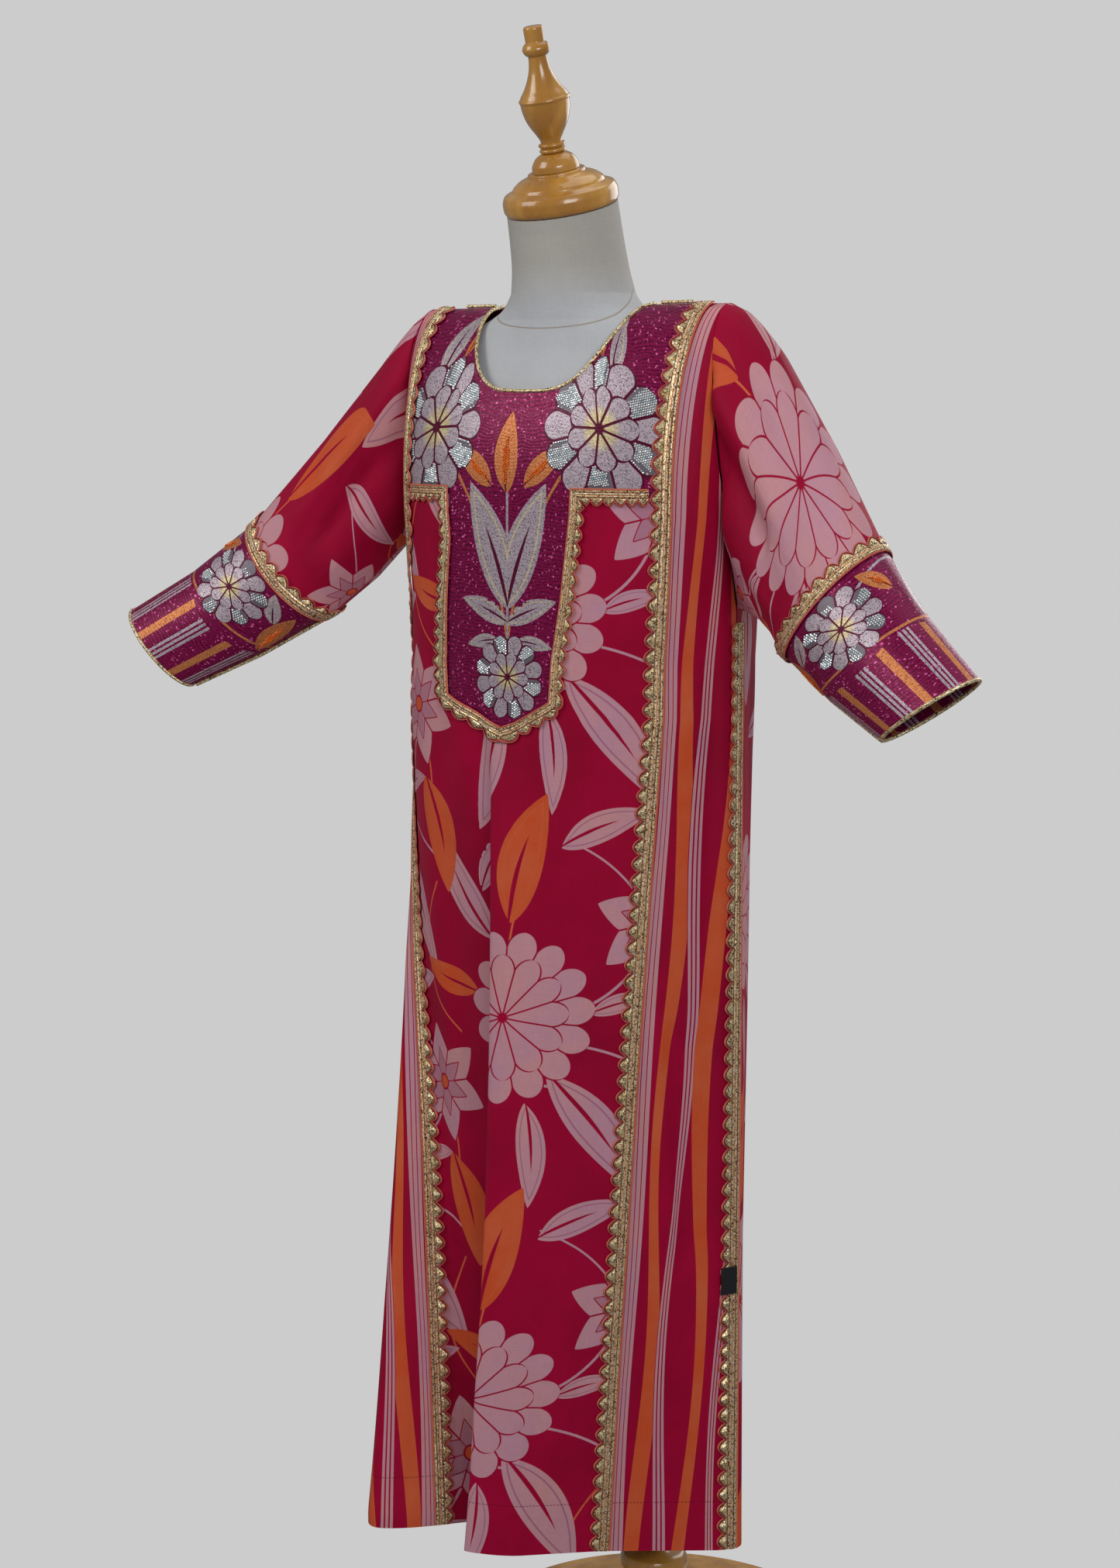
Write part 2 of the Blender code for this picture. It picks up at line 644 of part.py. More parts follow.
def beside(station, height, distance):
    """Station that lies a distance round the cloth from another one."""
    step = np.where(distance < 0.0, -0.02, 0.02)
    near = body_point(station + step, height) - body_point(station, height)
    speed = np.linalg.norm(near, axis=-1) / 0.02
    return station + distance / np.maximum(speed, 0.02)


def teeth(count, width, tooth):
    """Edge distance of each row of a scalloped band: valley, peak, valley and so on."""
    rows = np.arange(2 * count + 1)
    return width * 0.5 - tooth * (rows % 2 == 0)


def upright_trim(name, station, top, side_of_teeth, places, shift, lift):
    """A scalloped band down the body at one station.

    places are the columns of the band beside its toothed edge, from -1 at
    the plain edge to the middle at 0.
    """
    low = HEM_HEIGHT + float(hem_value(station, 3)) + 0.001
    fine = np.linspace(top, low, 600)
    line = body_point(station, fine)
    length = np.concatenate(((0.0,), np.cumsum(np.linalg.norm(np.diff(line, axis=0), axis=1))))
    count = int(round(length[-1] / PITCH))
    heights = np.interp(np.linspace(0.0, length[-1], 2 * count + 1), length, fine)
    distances = [teeth(count, TRIM_WIDTH, TOOTH)]
    distances.extend(np.full(heights.shape, place * TRIM_WIDTH * 0.5) for place in places)
    stations = np.stack([beside(station, heights, side_of_teeth * reach) for reach in distances], axis=1)
    heights = heights[:, None] + 0.0 * stations
    grid = body_point(stations, heights)
    grid[..., 1] += shift
    wall(name, grid, "gold_trim", TRIM_CLOTH, lift, body_normal(stations, heights))


def build_upright_trims():
    shoulder = SHOULDER_HEIGHT - 0.0004
    upright_trim("front_trim_left", 1.0, shoulder, -1.0, (-1.0,), -SHOULDER_SHIFT, SIDE_TRIM_LIFT)
    upright_trim("front_trim_right", -1.0, shoulder, 1.0, (0.0, -1.0), -SHOULDER_SHIFT, TRIM_LIFT)
    upright_trim("side_trim_left", 2.0, UNDERARM_HEIGHT[1] - 0.012, -1.0, (0.0, -1.0), 0.0, SIDE_TRIM_LIFT)
    upright_trim("side_trim_right", -2.0, UNDERARM_HEIGHT[-1] - 0.012, 1.0, (0.0, -1.0), 0.0, SIDE_TRIM_LIFT)


def yoke_outline():
    """Corners of the yoke's lower edge, as a distance across and a height."""
    above = column(FRONT_COLUMNS, 0)
    below = column(FRONT_COLUMNS, 1)
    right, left = PLACKET_COLUMNS
    clear = (TRIM_WIDTH * 0.5 + 0.0008) / seam_speed(np.array((-0.95, 0.95)), YOKE_LOW)
    rows = (
        (clear[0] - 1.0, YOKE_LOW),
        (above[right], YOKE_LOW),
        (below[right], PLACKET_CORNER_HEIGHT),
        (PLACKET_MIDDLE, PLACKET_TIP_HEIGHT),
        (below[left], PLACKET_CORNER_HEIGHT),
        (above[left], YOKE_LOW),
        (1.0 - clear[1], YOKE_LOW),
    )
    return np.array([(station * FRONT_SPEED, height) for station, height in rows])


def build_yoke_trim():
    """Scalloped band round the yoke's lower edge, mitred at its corners."""
    corners = yoke_outline()
    ahead = np.diff(corners, axis=0)
    lengths = np.linalg.norm(ahead, axis=1)
    ahead /= lengths[:, None]
    outward = np.stack((ahead[:, 1], -ahead[:, 0]), axis=1)
    valley = YOKE_TRIM_WIDTH * 0.5 - YOKE_TOOTH
    clear = YOKE_TRIM_WIDTH * 0.6
    centre = []
    direction = []
    reach = []
    for index, length in enumerate(lengths):
        mitre = outward[index]
        if index > 0:
            mitre = outward[index - 1] + outward[index]
            mitre = mitre / (mitre @ outward[index])
        centre.append(corners[index])
        direction.append(mitre)
        reach.append(valley)
        count = max(1, int(round((length - 2.0 * clear) / PITCH)))
        places = np.linspace(clear, length - clear, 2 * count + 1)
        for place, tooth in zip(places, teeth(count, YOKE_TRIM_WIDTH, YOKE_TOOTH)):
            centre.append(corners[index] + ahead[index] * place)
            direction.append(outward[index])
            reach.append(tooth)
    centre = np.array(centre + [corners[-1]])
    direction = np.array(direction + [outward[-1]])
    reach = np.array(reach + [valley])
    toothed = centre + direction * reach[:, None]
    plain = centre - direction * YOKE_TRIM_WIDTH * 0.5
    flat = np.stack((toothed, plain), axis=1)
    stations = flat[..., 0] / FRONT_SPEED
    grid = body_point(stations, flat[..., 1])
    grid[..., 1] -= SHOULDER_SHIFT
    wall("yoke_trim", grid, "gold_trim", TRIM_CLOTH, TRIM_LIFT, body_normal(stations, flat[..., 1]))


def neckline(grid):
    """Points of a panel's top row between the two ends of the shoulder seams."""
    top = grid[0]
    level = np.flatnonzero(top[:, 2] > SHOULDER_HEIGHT - 1e-6)
    gap = int(np.argmax(np.diff(level)))
    return top[level[gap]:level[gap + 1] + 1]


def build_neck_binding():
    """Gold cord round the neckline, along the edges of the two panels."""
    front_line = neckline(body_point(*front_grid(0.0)))
    back_line = neckline(body_point(*back_grid()))
    front_line[:, 1] -= SHOULDER_SHIFT
    back_line[:, 1] += SHOULDER_SHIFT
    line = np.concatenate((front_line, back_line[1:-1]))
    middle = np.array((BODY_MIDDLE_X, BODY_MIDDLE_Y, SHOULDER_HEIGHT + 0.04))
    inward = middle - line
    inward /= np.linalg.norm(inward, axis=1, keepdims=True)
    tube("neck_binding", line + inward * (CORD_RADIUS + 0.0008), CORD_RADIUS, "gold_trim", closed=True)


def sleeve_ring(place, side, armhole):
    """One ring of the sleeve. It starts as the armhole and turns into an ellipse."""
    rows = SLEEVE[side]
    values = [np.interp(place, column(rows, 0), column(rows, index)) for index in range(1, 7)]
    top_x, top_z, low_x, low_z, middle_y, half_depth = values
    heights = armhole_rows(side)
    turn = np.arccos(1.0 - 2.0 * (heights[0] - heights) / (heights[0] - heights[-1]))
    turns = np.concatenate((turn, 2.0 * math.pi - turn[-2:0:-1]))
    middle = np.array(((top_x + low_x) * 0.5, middle_y, (top_z + low_z) * 0.5))
    upright = np.array(((top_x - low_x) * 0.5, 0.0, (top_z - low_z) * 0.5))
    forward = np.array((0.0, -half_depth, 0.0))
    ring = middle + np.cos(turns)[:, None] * upright + np.sin(turns)[:, None] * forward
    ring[:, 0] = BODY_MIDDLE_X + ring[:, 0] * side
    blend = smooth_step(place)
    return (1.0 - blend) * armhole + blend * ring


def armhole_ring(side):
    """Edge of the armhole, from the shoulder down the front and up the back."""
    heights = armhole_rows(side)
    front = body_point(side * armhole_station(heights, side, False), heights)
    back = body_point(side * armhole_station(heights, side, True), heights)
    ring = np.concatenate((front, back[-2:0:-1]))
    ring[:, 0] += side * 0.0010
    return ring


def ring_normals(grid):
    return grid_normals(grid, True, grid.mean(axis=1, keepdims=True))


def build_sleeves():
    gap = SEAM_GAP / 0.025
    for side, word in ((1, "left"), (-1, "right")):
        armhole = armhole_ring(side)
        places = np.array([0.0, 0.25, 0.5, 1.0, 1.5, 2.25, CUFF_PLACE - gap * 0.5])
        grid = np.stack([sleeve_ring(place, side, armhole) for place in places])
        wall("sleeve_" + word, grid, "cerise_cloth", CLOTH, -CLOTH, ring_normals(grid), closed=True)
        places = np.array([CUFF_PLACE + gap * 0.5, 3.6, 4.3, 5.0])
        grid = np.stack([sleeve_ring(place, side, armhole) for place in places])
        wall("cuff_" + word, grid, "embroidery", CLOTH, -CLOTH, ring_normals(grid), closed=True)
        build_cuff_trims(side, word, armhole)


def build_cuff_trims(side, word, armhole):
    """Scalloped band over the cuff's seam, and cords at its edge and under the arm."""
    reach = TRIM_WIDTH / 0.09
    toothed = sleeve_ring(CUFF_PLACE - reach * 0.45, side, armhole)
    valley = sleeve_ring(CUFF_PLACE - reach * 0.20, side, armhole)
    plain = sleeve_ring(CUFF_PLACE + reach * 0.45, side, armhole)
    middles = (toothed + np.roll(toothed, -1, axis=0)) * 0.5
    edge = np.stack((valley, middles), axis=1).reshape(-1, 3)
    plain_middles = (plain + np.roll(plain, -1, axis=0)) * 0.5
    back_edge = np.stack((plain, plain_middles), axis=1).reshape(-1, 3)
    grid = np.stack((edge, back_edge))
    wall("cuff_trim_" + word, grid, "gold_trim", TRIM_CLOTH, 0.0010, ring_normals(grid), closed=True)
    last = sleeve_ring(5.0, side, armhole)
    before = sleeve_ring(4.9, side, armhole)
    out = last.mean(axis=0) - before.mean(axis=0)
    out /= np.linalg.norm(out)
    inward = last.mean(axis=0) - last
    inward /= np.linalg.norm(inward, axis=1, keepdims=True)
    tube("cuff_cord_" + word, last + inward * CLOTH * 0.5 + out * (CORD_RADIUS + 0.0007),
         CORD_RADIUS, "gold_trim", closed=True)
    lowest = len(armhole_rows(side)) - 1
    places = np.linspace(CUFF_PLACE + reach * 0.62, 4.94, 7)
    seam = np.array([sleeve_ring(place, side, armhole)[lowest] for place in places])
    middles = np.array([sleeve_ring(place, side, armhole).mean(axis=0) for place in places])
    away = seam - middles
    away /= np.linalg.norm(away, axis=1, keepdims=True)
    tube("cuff_seam_cord_" + word, seam + away * (CORD_RADIUS + 0.0006), CORD_RADIUS, "gold_trim")


def build_shoulder_cords():
    """Gold cord along each shoulder seam, from the neck to the front trim."""
    for side, word in ((1, "left"), (-1, "right")):
        x = BODY_MIDDLE_X + np.linspace(0.087, 0.116, 4) * side
        line = np.stack((x, np.full(4, BODY_MIDDLE_Y), np.full(4, SHOULDER_HEIGHT + CORD_RADIUS + 0.0004)), axis=1)
        tube("shoulder_cord_" + word, line, CORD_RADIUS, "gold_trim")


def build_label():
    """Bare folded label, sewn over the left side trim."""
    heights = LABEL_HEIGHT + np.linspace(0.5, -0.5, 3) * LABEL_SIZE[1]
    distances = np.linspace(-0.5, 0.5, 3) * LABEL_SIZE[0] - 0.002
    stations = np.stack([beside(2.0, heights, np.full(3, distance)) for distance in distances], axis=1)
    heights = heights[:, None] + 0.0 * stations
    lift = SIDE_TRIM_LIFT + TRIM_CLOTH + 0.0006
    wall("label", body_point(stations, heights), "label_cloth", LABEL_CLOTH, lift, body_normal(stations, heights))


def build_form():
    """Round base, pole, linen torso with its neck, wooden cap and finial."""
    loft("base", turned_rings(BASE_PROFILE, 32, Matrix.Identity(4)), "turned_wood")
    lean = POLE_HEAD - POLE_FOOT
    length = lean.length
    turn = Vector((0.0, 0.0, 1.0)).rotation_difference(lean).to_matrix().to_4x4()
    place = Matrix.Translation(POLE_FOOT) @ turn
    profile = [(part * length, radius) for part, radius in POLE_PROFILE]
    rings = turned_rings(profile, 16, place)
    rings[0, :, 2] = POLE_FOOT.z + FORM_GAP
    rings[-1, :, 2] = POLE_HEAD.z - FORM_GAP
    loft("pole", rings, "turned_wood")
    angles = np.linspace(0.0, 2.0 * math.pi, TORSO_SIDES, endpoint=False)
    rings = []
    for height, half_width, half_depth, middle_x, middle_y, square in TORSO:
        power = 2.0 / square
        x = middle_x + half_width * np.sign(np.cos(angles)) * np.abs(np.cos(angles)) ** power
        y = middle_y + half_depth * np.sign(np.sin(angles)) * np.abs(np.sin(angles)) ** power
        rings.append(np.stack((x, y, np.full_like(x, height)), axis=1))
    neck = Matrix.Translation(NECK_TOP) @ Matrix.Rotation(NECK_TILT, 4, "X")
    rings.append(turned_rings([(-FORM_GAP, NECK_TOP_RADIUS)], TORSO_SIDES, neck)[0])
    loft("torso", np.array(rings), "linen")
    loft("neck_cap", turned_rings(CAP_PROFILE, 24, neck), "turned_wood")
    loft("finial", turned_rings(FINIAL_PROFILE, 16, neck), "turned_wood")


def main():
    clear_scene()
    build_form()
    build_panels()
    build_upright_trims()
    build_yoke_trim()
    build_neck_binding()
    build_shoulder_cords()
    build_sleeves()
    build_label()


main()
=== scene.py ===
# %% [markdown]
# # A child's kandura on a dress form
# A kandura is a long loose dress with sleeves to below the elbow. This one has a printed
# front, striped sides, an embroidered yoke and cuffs, and gold scalloped braid on its
# seams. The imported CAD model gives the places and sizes. Each of its solids is replaced
# by a finer piece on the same surface, so that cloth, braid and stones can be drawn on it.

# %% Load the frame
import math

import bpy
import bmesh
import numpy as np
from mathutils import Matrix, Vector


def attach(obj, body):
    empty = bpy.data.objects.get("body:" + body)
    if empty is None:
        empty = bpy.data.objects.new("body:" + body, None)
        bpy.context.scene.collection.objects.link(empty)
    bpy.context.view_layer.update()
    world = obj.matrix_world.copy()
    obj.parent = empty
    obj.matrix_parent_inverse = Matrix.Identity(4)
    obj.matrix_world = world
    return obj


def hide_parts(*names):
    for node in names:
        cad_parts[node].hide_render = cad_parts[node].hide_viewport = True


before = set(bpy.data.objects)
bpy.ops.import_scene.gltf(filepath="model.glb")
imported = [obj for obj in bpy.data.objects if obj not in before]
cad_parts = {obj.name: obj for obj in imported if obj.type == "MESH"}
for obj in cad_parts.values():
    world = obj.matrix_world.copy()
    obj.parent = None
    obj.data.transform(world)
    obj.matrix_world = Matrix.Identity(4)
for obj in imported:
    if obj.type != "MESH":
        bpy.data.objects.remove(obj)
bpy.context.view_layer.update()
print("solids in the frame:", len(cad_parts))

# %% [markdown]
# ## Camera
# The photograph looks down a little, at the garment's left front. The camera stands
# 2.43 m from the middle of the base, turned 35 degrees and tilted 8 degrees, and its
# focal length is given in pixels of the 2023 pixels of the photograph's height.

# %% Camera
PHOTO_HEIGHT = 2023
CAMERA_TURN = math.radians(35.0)
CAMERA_TILT = math.radians(8.0)
CAMERA_DISTANCE = 2.43
CAMERA_SHIFT = -0.0915
CAMERA_HEIGHT = 1.165
FOCAL_PIXELS = 3570.0

to_right = Vector((math.cos(CAMERA_TURN), math.sin(CAMERA_TURN), 0.0))
inward = Vector((-math.sin(CAMERA_TURN), math.cos(CAMERA_TURN), 0.0))
lens = bpy.data.cameras.new("photo_camera")
lens.sensor_fit = "VERTICAL"
lens.sensor_height = 36.0
lens.lens = FOCAL_PIXELS / PHOTO_HEIGHT * lens.sensor_height
camera = bpy.data.objects.new("photo_camera", lens)
camera.location = -CAMERA_DISTANCE * inward + CAMERA_SHIFT * to_right + Vector((0.0, 0.0, CAMERA_HEIGHT))
camera.rotation_euler = (math.pi / 2 - CAMERA_TILT, 0.0, CAMERA_TURN)
bpy.context.scene.collection.objects.link(camera)
bpy.context.scene.camera = camera
bpy.context.scene.view_settings.view_transform = "Standard"

# %% [markdown]
# ## The cloth as one surface
# All the panels lie on one surface with two parameters. The station runs round the body:
# 0 is the centre front, 1 the left front braid, 2 the left side seam and 4 the centre
# back, and the right side has the same numbers below 0. The height runs up from the
# floor. The tables give the body at a few heights, and the hem seen from above.

# %% Sizes of the garment
SHOULDER_HEIGHT = 1.240
HEM_HEIGHT = 0.164
BODY_MIDDLE = np.array((-0.040, -0.077))
NECK_STATION = 0.477
FRONT_NECK_HEIGHT = 1.167
BACK_NECK_HEIGHT = 1.216
NECK_SQUARENESS = 2.8
FRONT_ROOF = 0.160
BACK_ROOF = 0.120
ARMHOLE_TOP_ANGLE = 61.0
UNDERARM_HEIGHT = {1: 0.990, -1: 1.038}
FLARE_TOP = 0.900
YOKE_LOW = 1.082
FRONT_SPEED = 0.139
CLOTH = 0.0012
PANEL_ANGLES = np.array([
    # height, left braid, left side seam, right braid, right side seam
    (0.164, 45.0, 86.0, 88.0, 115.0), (0.460, 46.0, 87.0, 85.0, 112.0),
    (0.660, 46.5, 87.5, 81.0, 109.0), (0.800, 47.0, 88.0, 80.0, 108.0),
    (0.940, 47.0, 88.0, 78.0, 106.0), (0.995, 47.0, 88.0, 65.0, 98.0),
    (1.045, 47.0, 88.0, 52.0, 91.0), (1.240, 47.0, 88.0, 46.0, 88.0),
])
SECTIONS = np.array([
    # height, left half width, right half width, front depth, back depth, squareness
    (0.164, 0.1640, 0.1720, 0.096, 0.090, 2.0), (0.666, 0.1640, 0.1720, 0.094, 0.090, 2.0),
    (0.776, 0.1635, 0.1700, 0.093, 0.090, 2.0), (0.866, 0.1635, 0.1670, 0.092, 0.090, 2.05),
    (0.946, 0.1640, 0.1610, 0.092, 0.090, 2.15), (0.996, 0.1650, 0.1565, 0.092, 0.090, 2.4),
    (1.066, 0.1670, 0.1600, 0.092, 0.092, 2.6), (1.240, 0.1680, 0.1680, 0.092, 0.097, 2.6),
])
HEM_PLAN = np.array([
    # station, x, y, lift of the hem, how far the corner is rounded
    (-4.00, -0.070, 0.052, 0.000, 0.35), (-3.50, -0.130, 0.035, -0.003, 0.30),
    (-3.00, -0.183, -0.005, -0.006, 0.25), (-2.50, -0.214, -0.066, -0.009, 0.20),
    (-2.00, -0.216, -0.143, -0.010, 0.15), (-1.80, -0.208, -0.167, -0.010, 0.10),
    (-1.50, -0.186, -0.195, -0.010, 0.10), (-1.25, -0.161, -0.180, -0.010, 0.10),
    (-1.00, -0.135, -0.152, -0.010, 0.08), (-0.88, -0.116, -0.130, -0.009, 0.06),
    (-0.39, -0.052, -0.104, -0.006, 0.07), (0.23, -0.075, -0.207, 0.000, 0.05),
    (0.42, -0.034, -0.193, 0.000, 0.08), (1.00, 0.027, -0.136, 0.000, 0.10),
    (2.00, 0.117, -0.071, 0.000, 0.10), (2.15, 0.124, -0.057, 0.000, 0.06),
    (2.50, 0.093, -0.015, 0.001, 0.20), (3.00, 0.045, 0.027, 0.002, 0.25),
    (3.50, -0.010, 0.049, 0.001, 0.30), (4.00, -0.070, 0.052, 0.000, 0.35),
])
FOLD = np.array([
    # height, station of the fold's ridge, station of its crease
    (0.164, 0.230, -0.390), (0.280, 0.100, -0.390), (0.440, 0.020, -0.330),
    (0.610, -0.030, -0.230), (0.790, -0.085, -0.165), (0.946, -0.100, -0.150),
])


# %% Body surface
def read_table(table, place, column):
    """Value of a table's column, on straight lines between its rows."""
    return np.interp(place, table[:, 0], table[:, column])


def unit(vectors):
    """The same directions with a length of 1."""
    return vectors / np.linalg.norm(vectors, axis=-1, keepdims=True)


def run_lengths(line):
    """Distance along a line of points, from the first to each of them."""
    return np.concatenate(((0.0,), np.cumsum(np.linalg.norm(np.diff(line, axis=0), axis=1))))


def wrap_round(station):
    """The same station round the body, between -4 and 4."""
    return (station + 4.0) % 8.0 - 4.0


def smooth_step(value):
    """A soft rise from 0 to 1: three squares less two cubes."""
    value = np.clip(value, 0.0, 1.0)
    return value * value * (3.0 - 2.0 * value)


def hem_value(station, column):
    """Value of the hem's plan, as the mean of five near places, so that corners are round."""
    station = wrap_round(np.asarray(station, float))
    stations = np.concatenate((HEM_PLAN[:-1, 0] - 8.0, HEM_PLAN[:, 0], HEM_PLAN[1:, 0] + 8.0))
    values = np.concatenate((HEM_PLAN[:-1, column], HEM_PLAN[:, column], HEM_PLAN[1:, column]))
    reach = np.interp(station, HEM_PLAN[:, 0], HEM_PLAN[:, 4])
    steps = (-1.0, -0.5, 0.0, 0.5, 1.0)
    return sum(np.interp(station + step * reach, stations, values) for step in steps) / 5.0


def fold_at(height):
    """Stations of the knife fold's ridge and crease at a height."""
    return read_table(FOLD, height, 1), read_table(FOLD, height, 2)


def move_fold(station, old, new):
    """Stretch the front panel's stations in three parts, so that ridge and crease move from old to new."""
    right_part = (station + 1.0) / (old[1] + 1.0)
    inner_part = (station - old[1]) / (old[0] - old[1])
    left_part = (1.0 - station) / (1.0 - old[0])
    moved = np.where(station < old[0], new[1] + inner_part * (new[0] - new[1]),
                     1.0 - left_part * (1.0 - new[0]))
    moved = np.where(station < old[1], right_part * (new[1] + 1.0) - 1.0, moved)
    return np.where(np.abs(station) < 1.0, moved, station)


def panel_angle(station, height):
    """Angle from the front, in three straight parts: to the braid, to the side seam, to the back."""
    left = station > 0.0
    braid = np.where(left, read_table(PANEL_ANGLES, height, 1), read_table(PANEL_ANGLES, height, 3))
    seam = np.where(left, read_table(PANEL_ANGLES, height, 2), read_table(PANEL_ANGLES, height, 4))
    part = np.abs(station)
    behind = seam + (180.0 - seam) * (part - 2.0) * 0.5
    beside = braid + (seam - braid) * (part - 1.0)
    return np.where(part < 1.0, braid * part, np.where(part < 2.0, beside, behind))


def body_point(station, height):
    """Outer face of the cloth, as points.

    Above, a section is a rounded ellipse whose depth grows from nothing at the
    shoulder seam like a quarter of an ellipse. Below, it turns into the hem's plan.
    """
    station, height = np.broadcast_arrays(np.asarray(station, float), np.asarray(height, float))
    wrapped = wrap_round(station)
    side = np.sign(wrapped)
    angle = np.radians(panel_angle(wrapped, height))
    half_width = np.where(side > 0.0, read_table(SECTIONS, height, 1), read_table(SECTIONS, height, 2))
    power = 2.0 / read_table(SECTIONS, height, 5)
    drop = SHOULDER_HEIGHT - height
    front_round = np.sqrt(np.clip(1.0 - np.clip(1.0 - drop / FRONT_ROOF, 0.0, 1.0) ** 2, 0.0, 1.0))
    back_round = np.sqrt(np.clip(1.0 - np.clip(1.0 - drop / BACK_ROOF, 0.0, 1.0) ** 2, 0.0, 1.0))
    across = side * half_width * np.abs(np.sin(angle)) ** power
    reach = np.abs(np.cos(angle)) ** power
    depth = np.where(np.cos(angle) > 0.0, -read_table(SECTIONS, height, 3) * front_round,
                     read_table(SECTIONS, height, 4) * back_round)
    blend = np.clip((FLARE_TOP - height) / (FLARE_TOP - HEM_HEIGHT), 0.0, 1.0)
    turned = move_fold(wrapped, fold_at(height), fold_at(HEM_HEIGHT))
    x = (1.0 - blend) * (BODY_MIDDLE[0] + across) + blend * hem_value(turned, 1)
    y = (1.0 - blend) * (BODY_MIDDLE[1] + depth * reach) + blend * hem_value(turned, 2)
    return np.stack((x, y, height), axis=-1)


def body_normal(station, height):
    """Unit normals: the cross product of a small step round and a small step down."""
    station, height = np.broadcast_arrays(np.asarray(station, float), np.asarray(height, float))
    across = body_point(station + 0.01, height) - body_point(station - 0.01, height)
    upper = np.minimum(height + 0.001, SHOULDER_HEIGHT)
    down = body_point(station, upper - 0.002) - body_point(station, upper)
    return unit(np.cross(across, -down))


# %% [markdown]
# ## Creases
# A worn dress has soft creases that the solids leave out. Each row of this table is one
# crease: a line down the cloth, and a bump across it whose height is a bell curve. The
# same relief lifts whatever is sewn on the cloth, so nothing comes loose.

# %% Creases
CREASES = np.array([
    # station at the top, station at the foot, top height, foot height, width in stations, rise
    (1.22, 1.46, 0.640, 0.440, 0.090, 0.0032),
    (1.36, 1.60, 0.640, 0.430, 0.100, -0.0026),
    (0.62, 0.55, 1.000, 0.300, 0.200, 0.0016),
    (0.25, 0.48, 0.860, 0.250, 0.130, -0.0022),
    (-0.62, -0.66, 0.930, 0.300, 0.140, 0.0024),
    (-0.40, -0.50, 0.930, 0.400, 0.090, -0.0022),
    (-0.20, -0.02, 0.930, 0.330, 0.060, -0.0034),
    (1.62, 1.70, 1.020, 0.700, 0.160, -0.0030),
    (1.80, 1.86, 0.980, 0.350, 0.120, 0.0024),
    (-1.45, -1.40, 0.980, 0.300, 0.220, 0.0024),
    (2.60, 2.70, 1.000, 0.250, 0.160, 0.0058),
    (3.10, 3.25, 0.620, 0.200, 0.150, -0.0052),
    (3.55, 3.75, 1.020, 0.240, 0.150, 0.0054),
    (-3.85, -3.80, 0.640, 0.220, 0.140, -0.0046),
    (-3.35, -3.30, 1.030, 0.230, 0.150, 0.0058),
    (-2.75, -2.85, 0.640, 0.220, 0.160, -0.0048),
])


def relief(station, height):
    """Sum of the creases: rise times a bell across, times a soft start and end down the line."""
    station, height = np.broadcast_arrays(np.asarray(station, float), np.asarray(height, float))
    wrapped = wrap_round(station)
    total = np.zeros(wrapped.shape)
    for top, foot, high, low, width, rise in CREASES:
        down = (high - height) / (high - low)
        line = top + (foot - top) * np.clip(down, 0.0, 1.0)
        aside = wrap_round(wrapped - line)
        ends = smooth_step(down * 4.0 + 0.5) * smooth_step((1.0 - down) * 4.0 + 0.5)
        total += rise * np.exp(-(aside / width) ** 2) * ends
    part = np.abs(wrapped)
    seams = smooth_step(np.abs(part - 1.0) / 0.12) * smooth_step(np.abs(part - 2.0) / 0.12)
    return total * np.where(part < 2.3, seams, 1.0)


def cloth_point(station, height, lift=0.0):
    """Point on the creased cloth, a distance out from it."""
    out = relief(station, height) + lift
    return body_point(station, height) + body_normal(station, height) * np.asarray(out)[..., None]


# %% [markdown]
# ## Meshes from grids
# Every piece is a grid of points worked out as whole arrays. A wall has an outer grid,
# an inner grid and a rim between their edges, so it is closed. A mask can leave cells
# out, as where the front panel is cut away for the yoke. A sum with 0.0 times another
# array only gives the values that array's shape.

# %% Grid to mesh
def grid_faces(rows, columns, closed=True, keep=None):
    """Corners of each kept cell of a grid, as an array with four columns. A closed grid is a tube."""
    across = columns if closed else columns - 1
    row, col = np.meshgrid(np.arange(rows - 1), np.arange(across), indexing="ij")
    right = (col + 1) % columns
    corners = np.stack((row * columns + col, row * columns + right,
                        (row + 1) * columns + right, (row + 1) * columns + col), axis=-1)
    if keep is not None:
        return corners[keep]
    return corners.reshape(-1, 4)


def tube_faces(rows, columns):
    """Faces of a tube of rings, with one more face on each end."""
    ends = [list(range(columns))[::-1], list(range((rows - 1) * columns, rows * columns))]
    return grid_faces(rows, columns).tolist() + ends


def open_edges(faces):
    """Edges that only one face uses, with the direction in which it uses them."""
    edges = np.concatenate([faces[:, [turn, (turn + 1) % 4]] for turn in range(4)])
    span = int(edges.max()) + 1
    forward = edges[:, 0] * span + edges[:, 1]
    backward = edges[:, 1] * span + edges[:, 0]
    return edges[~np.isin(forward, backward)]


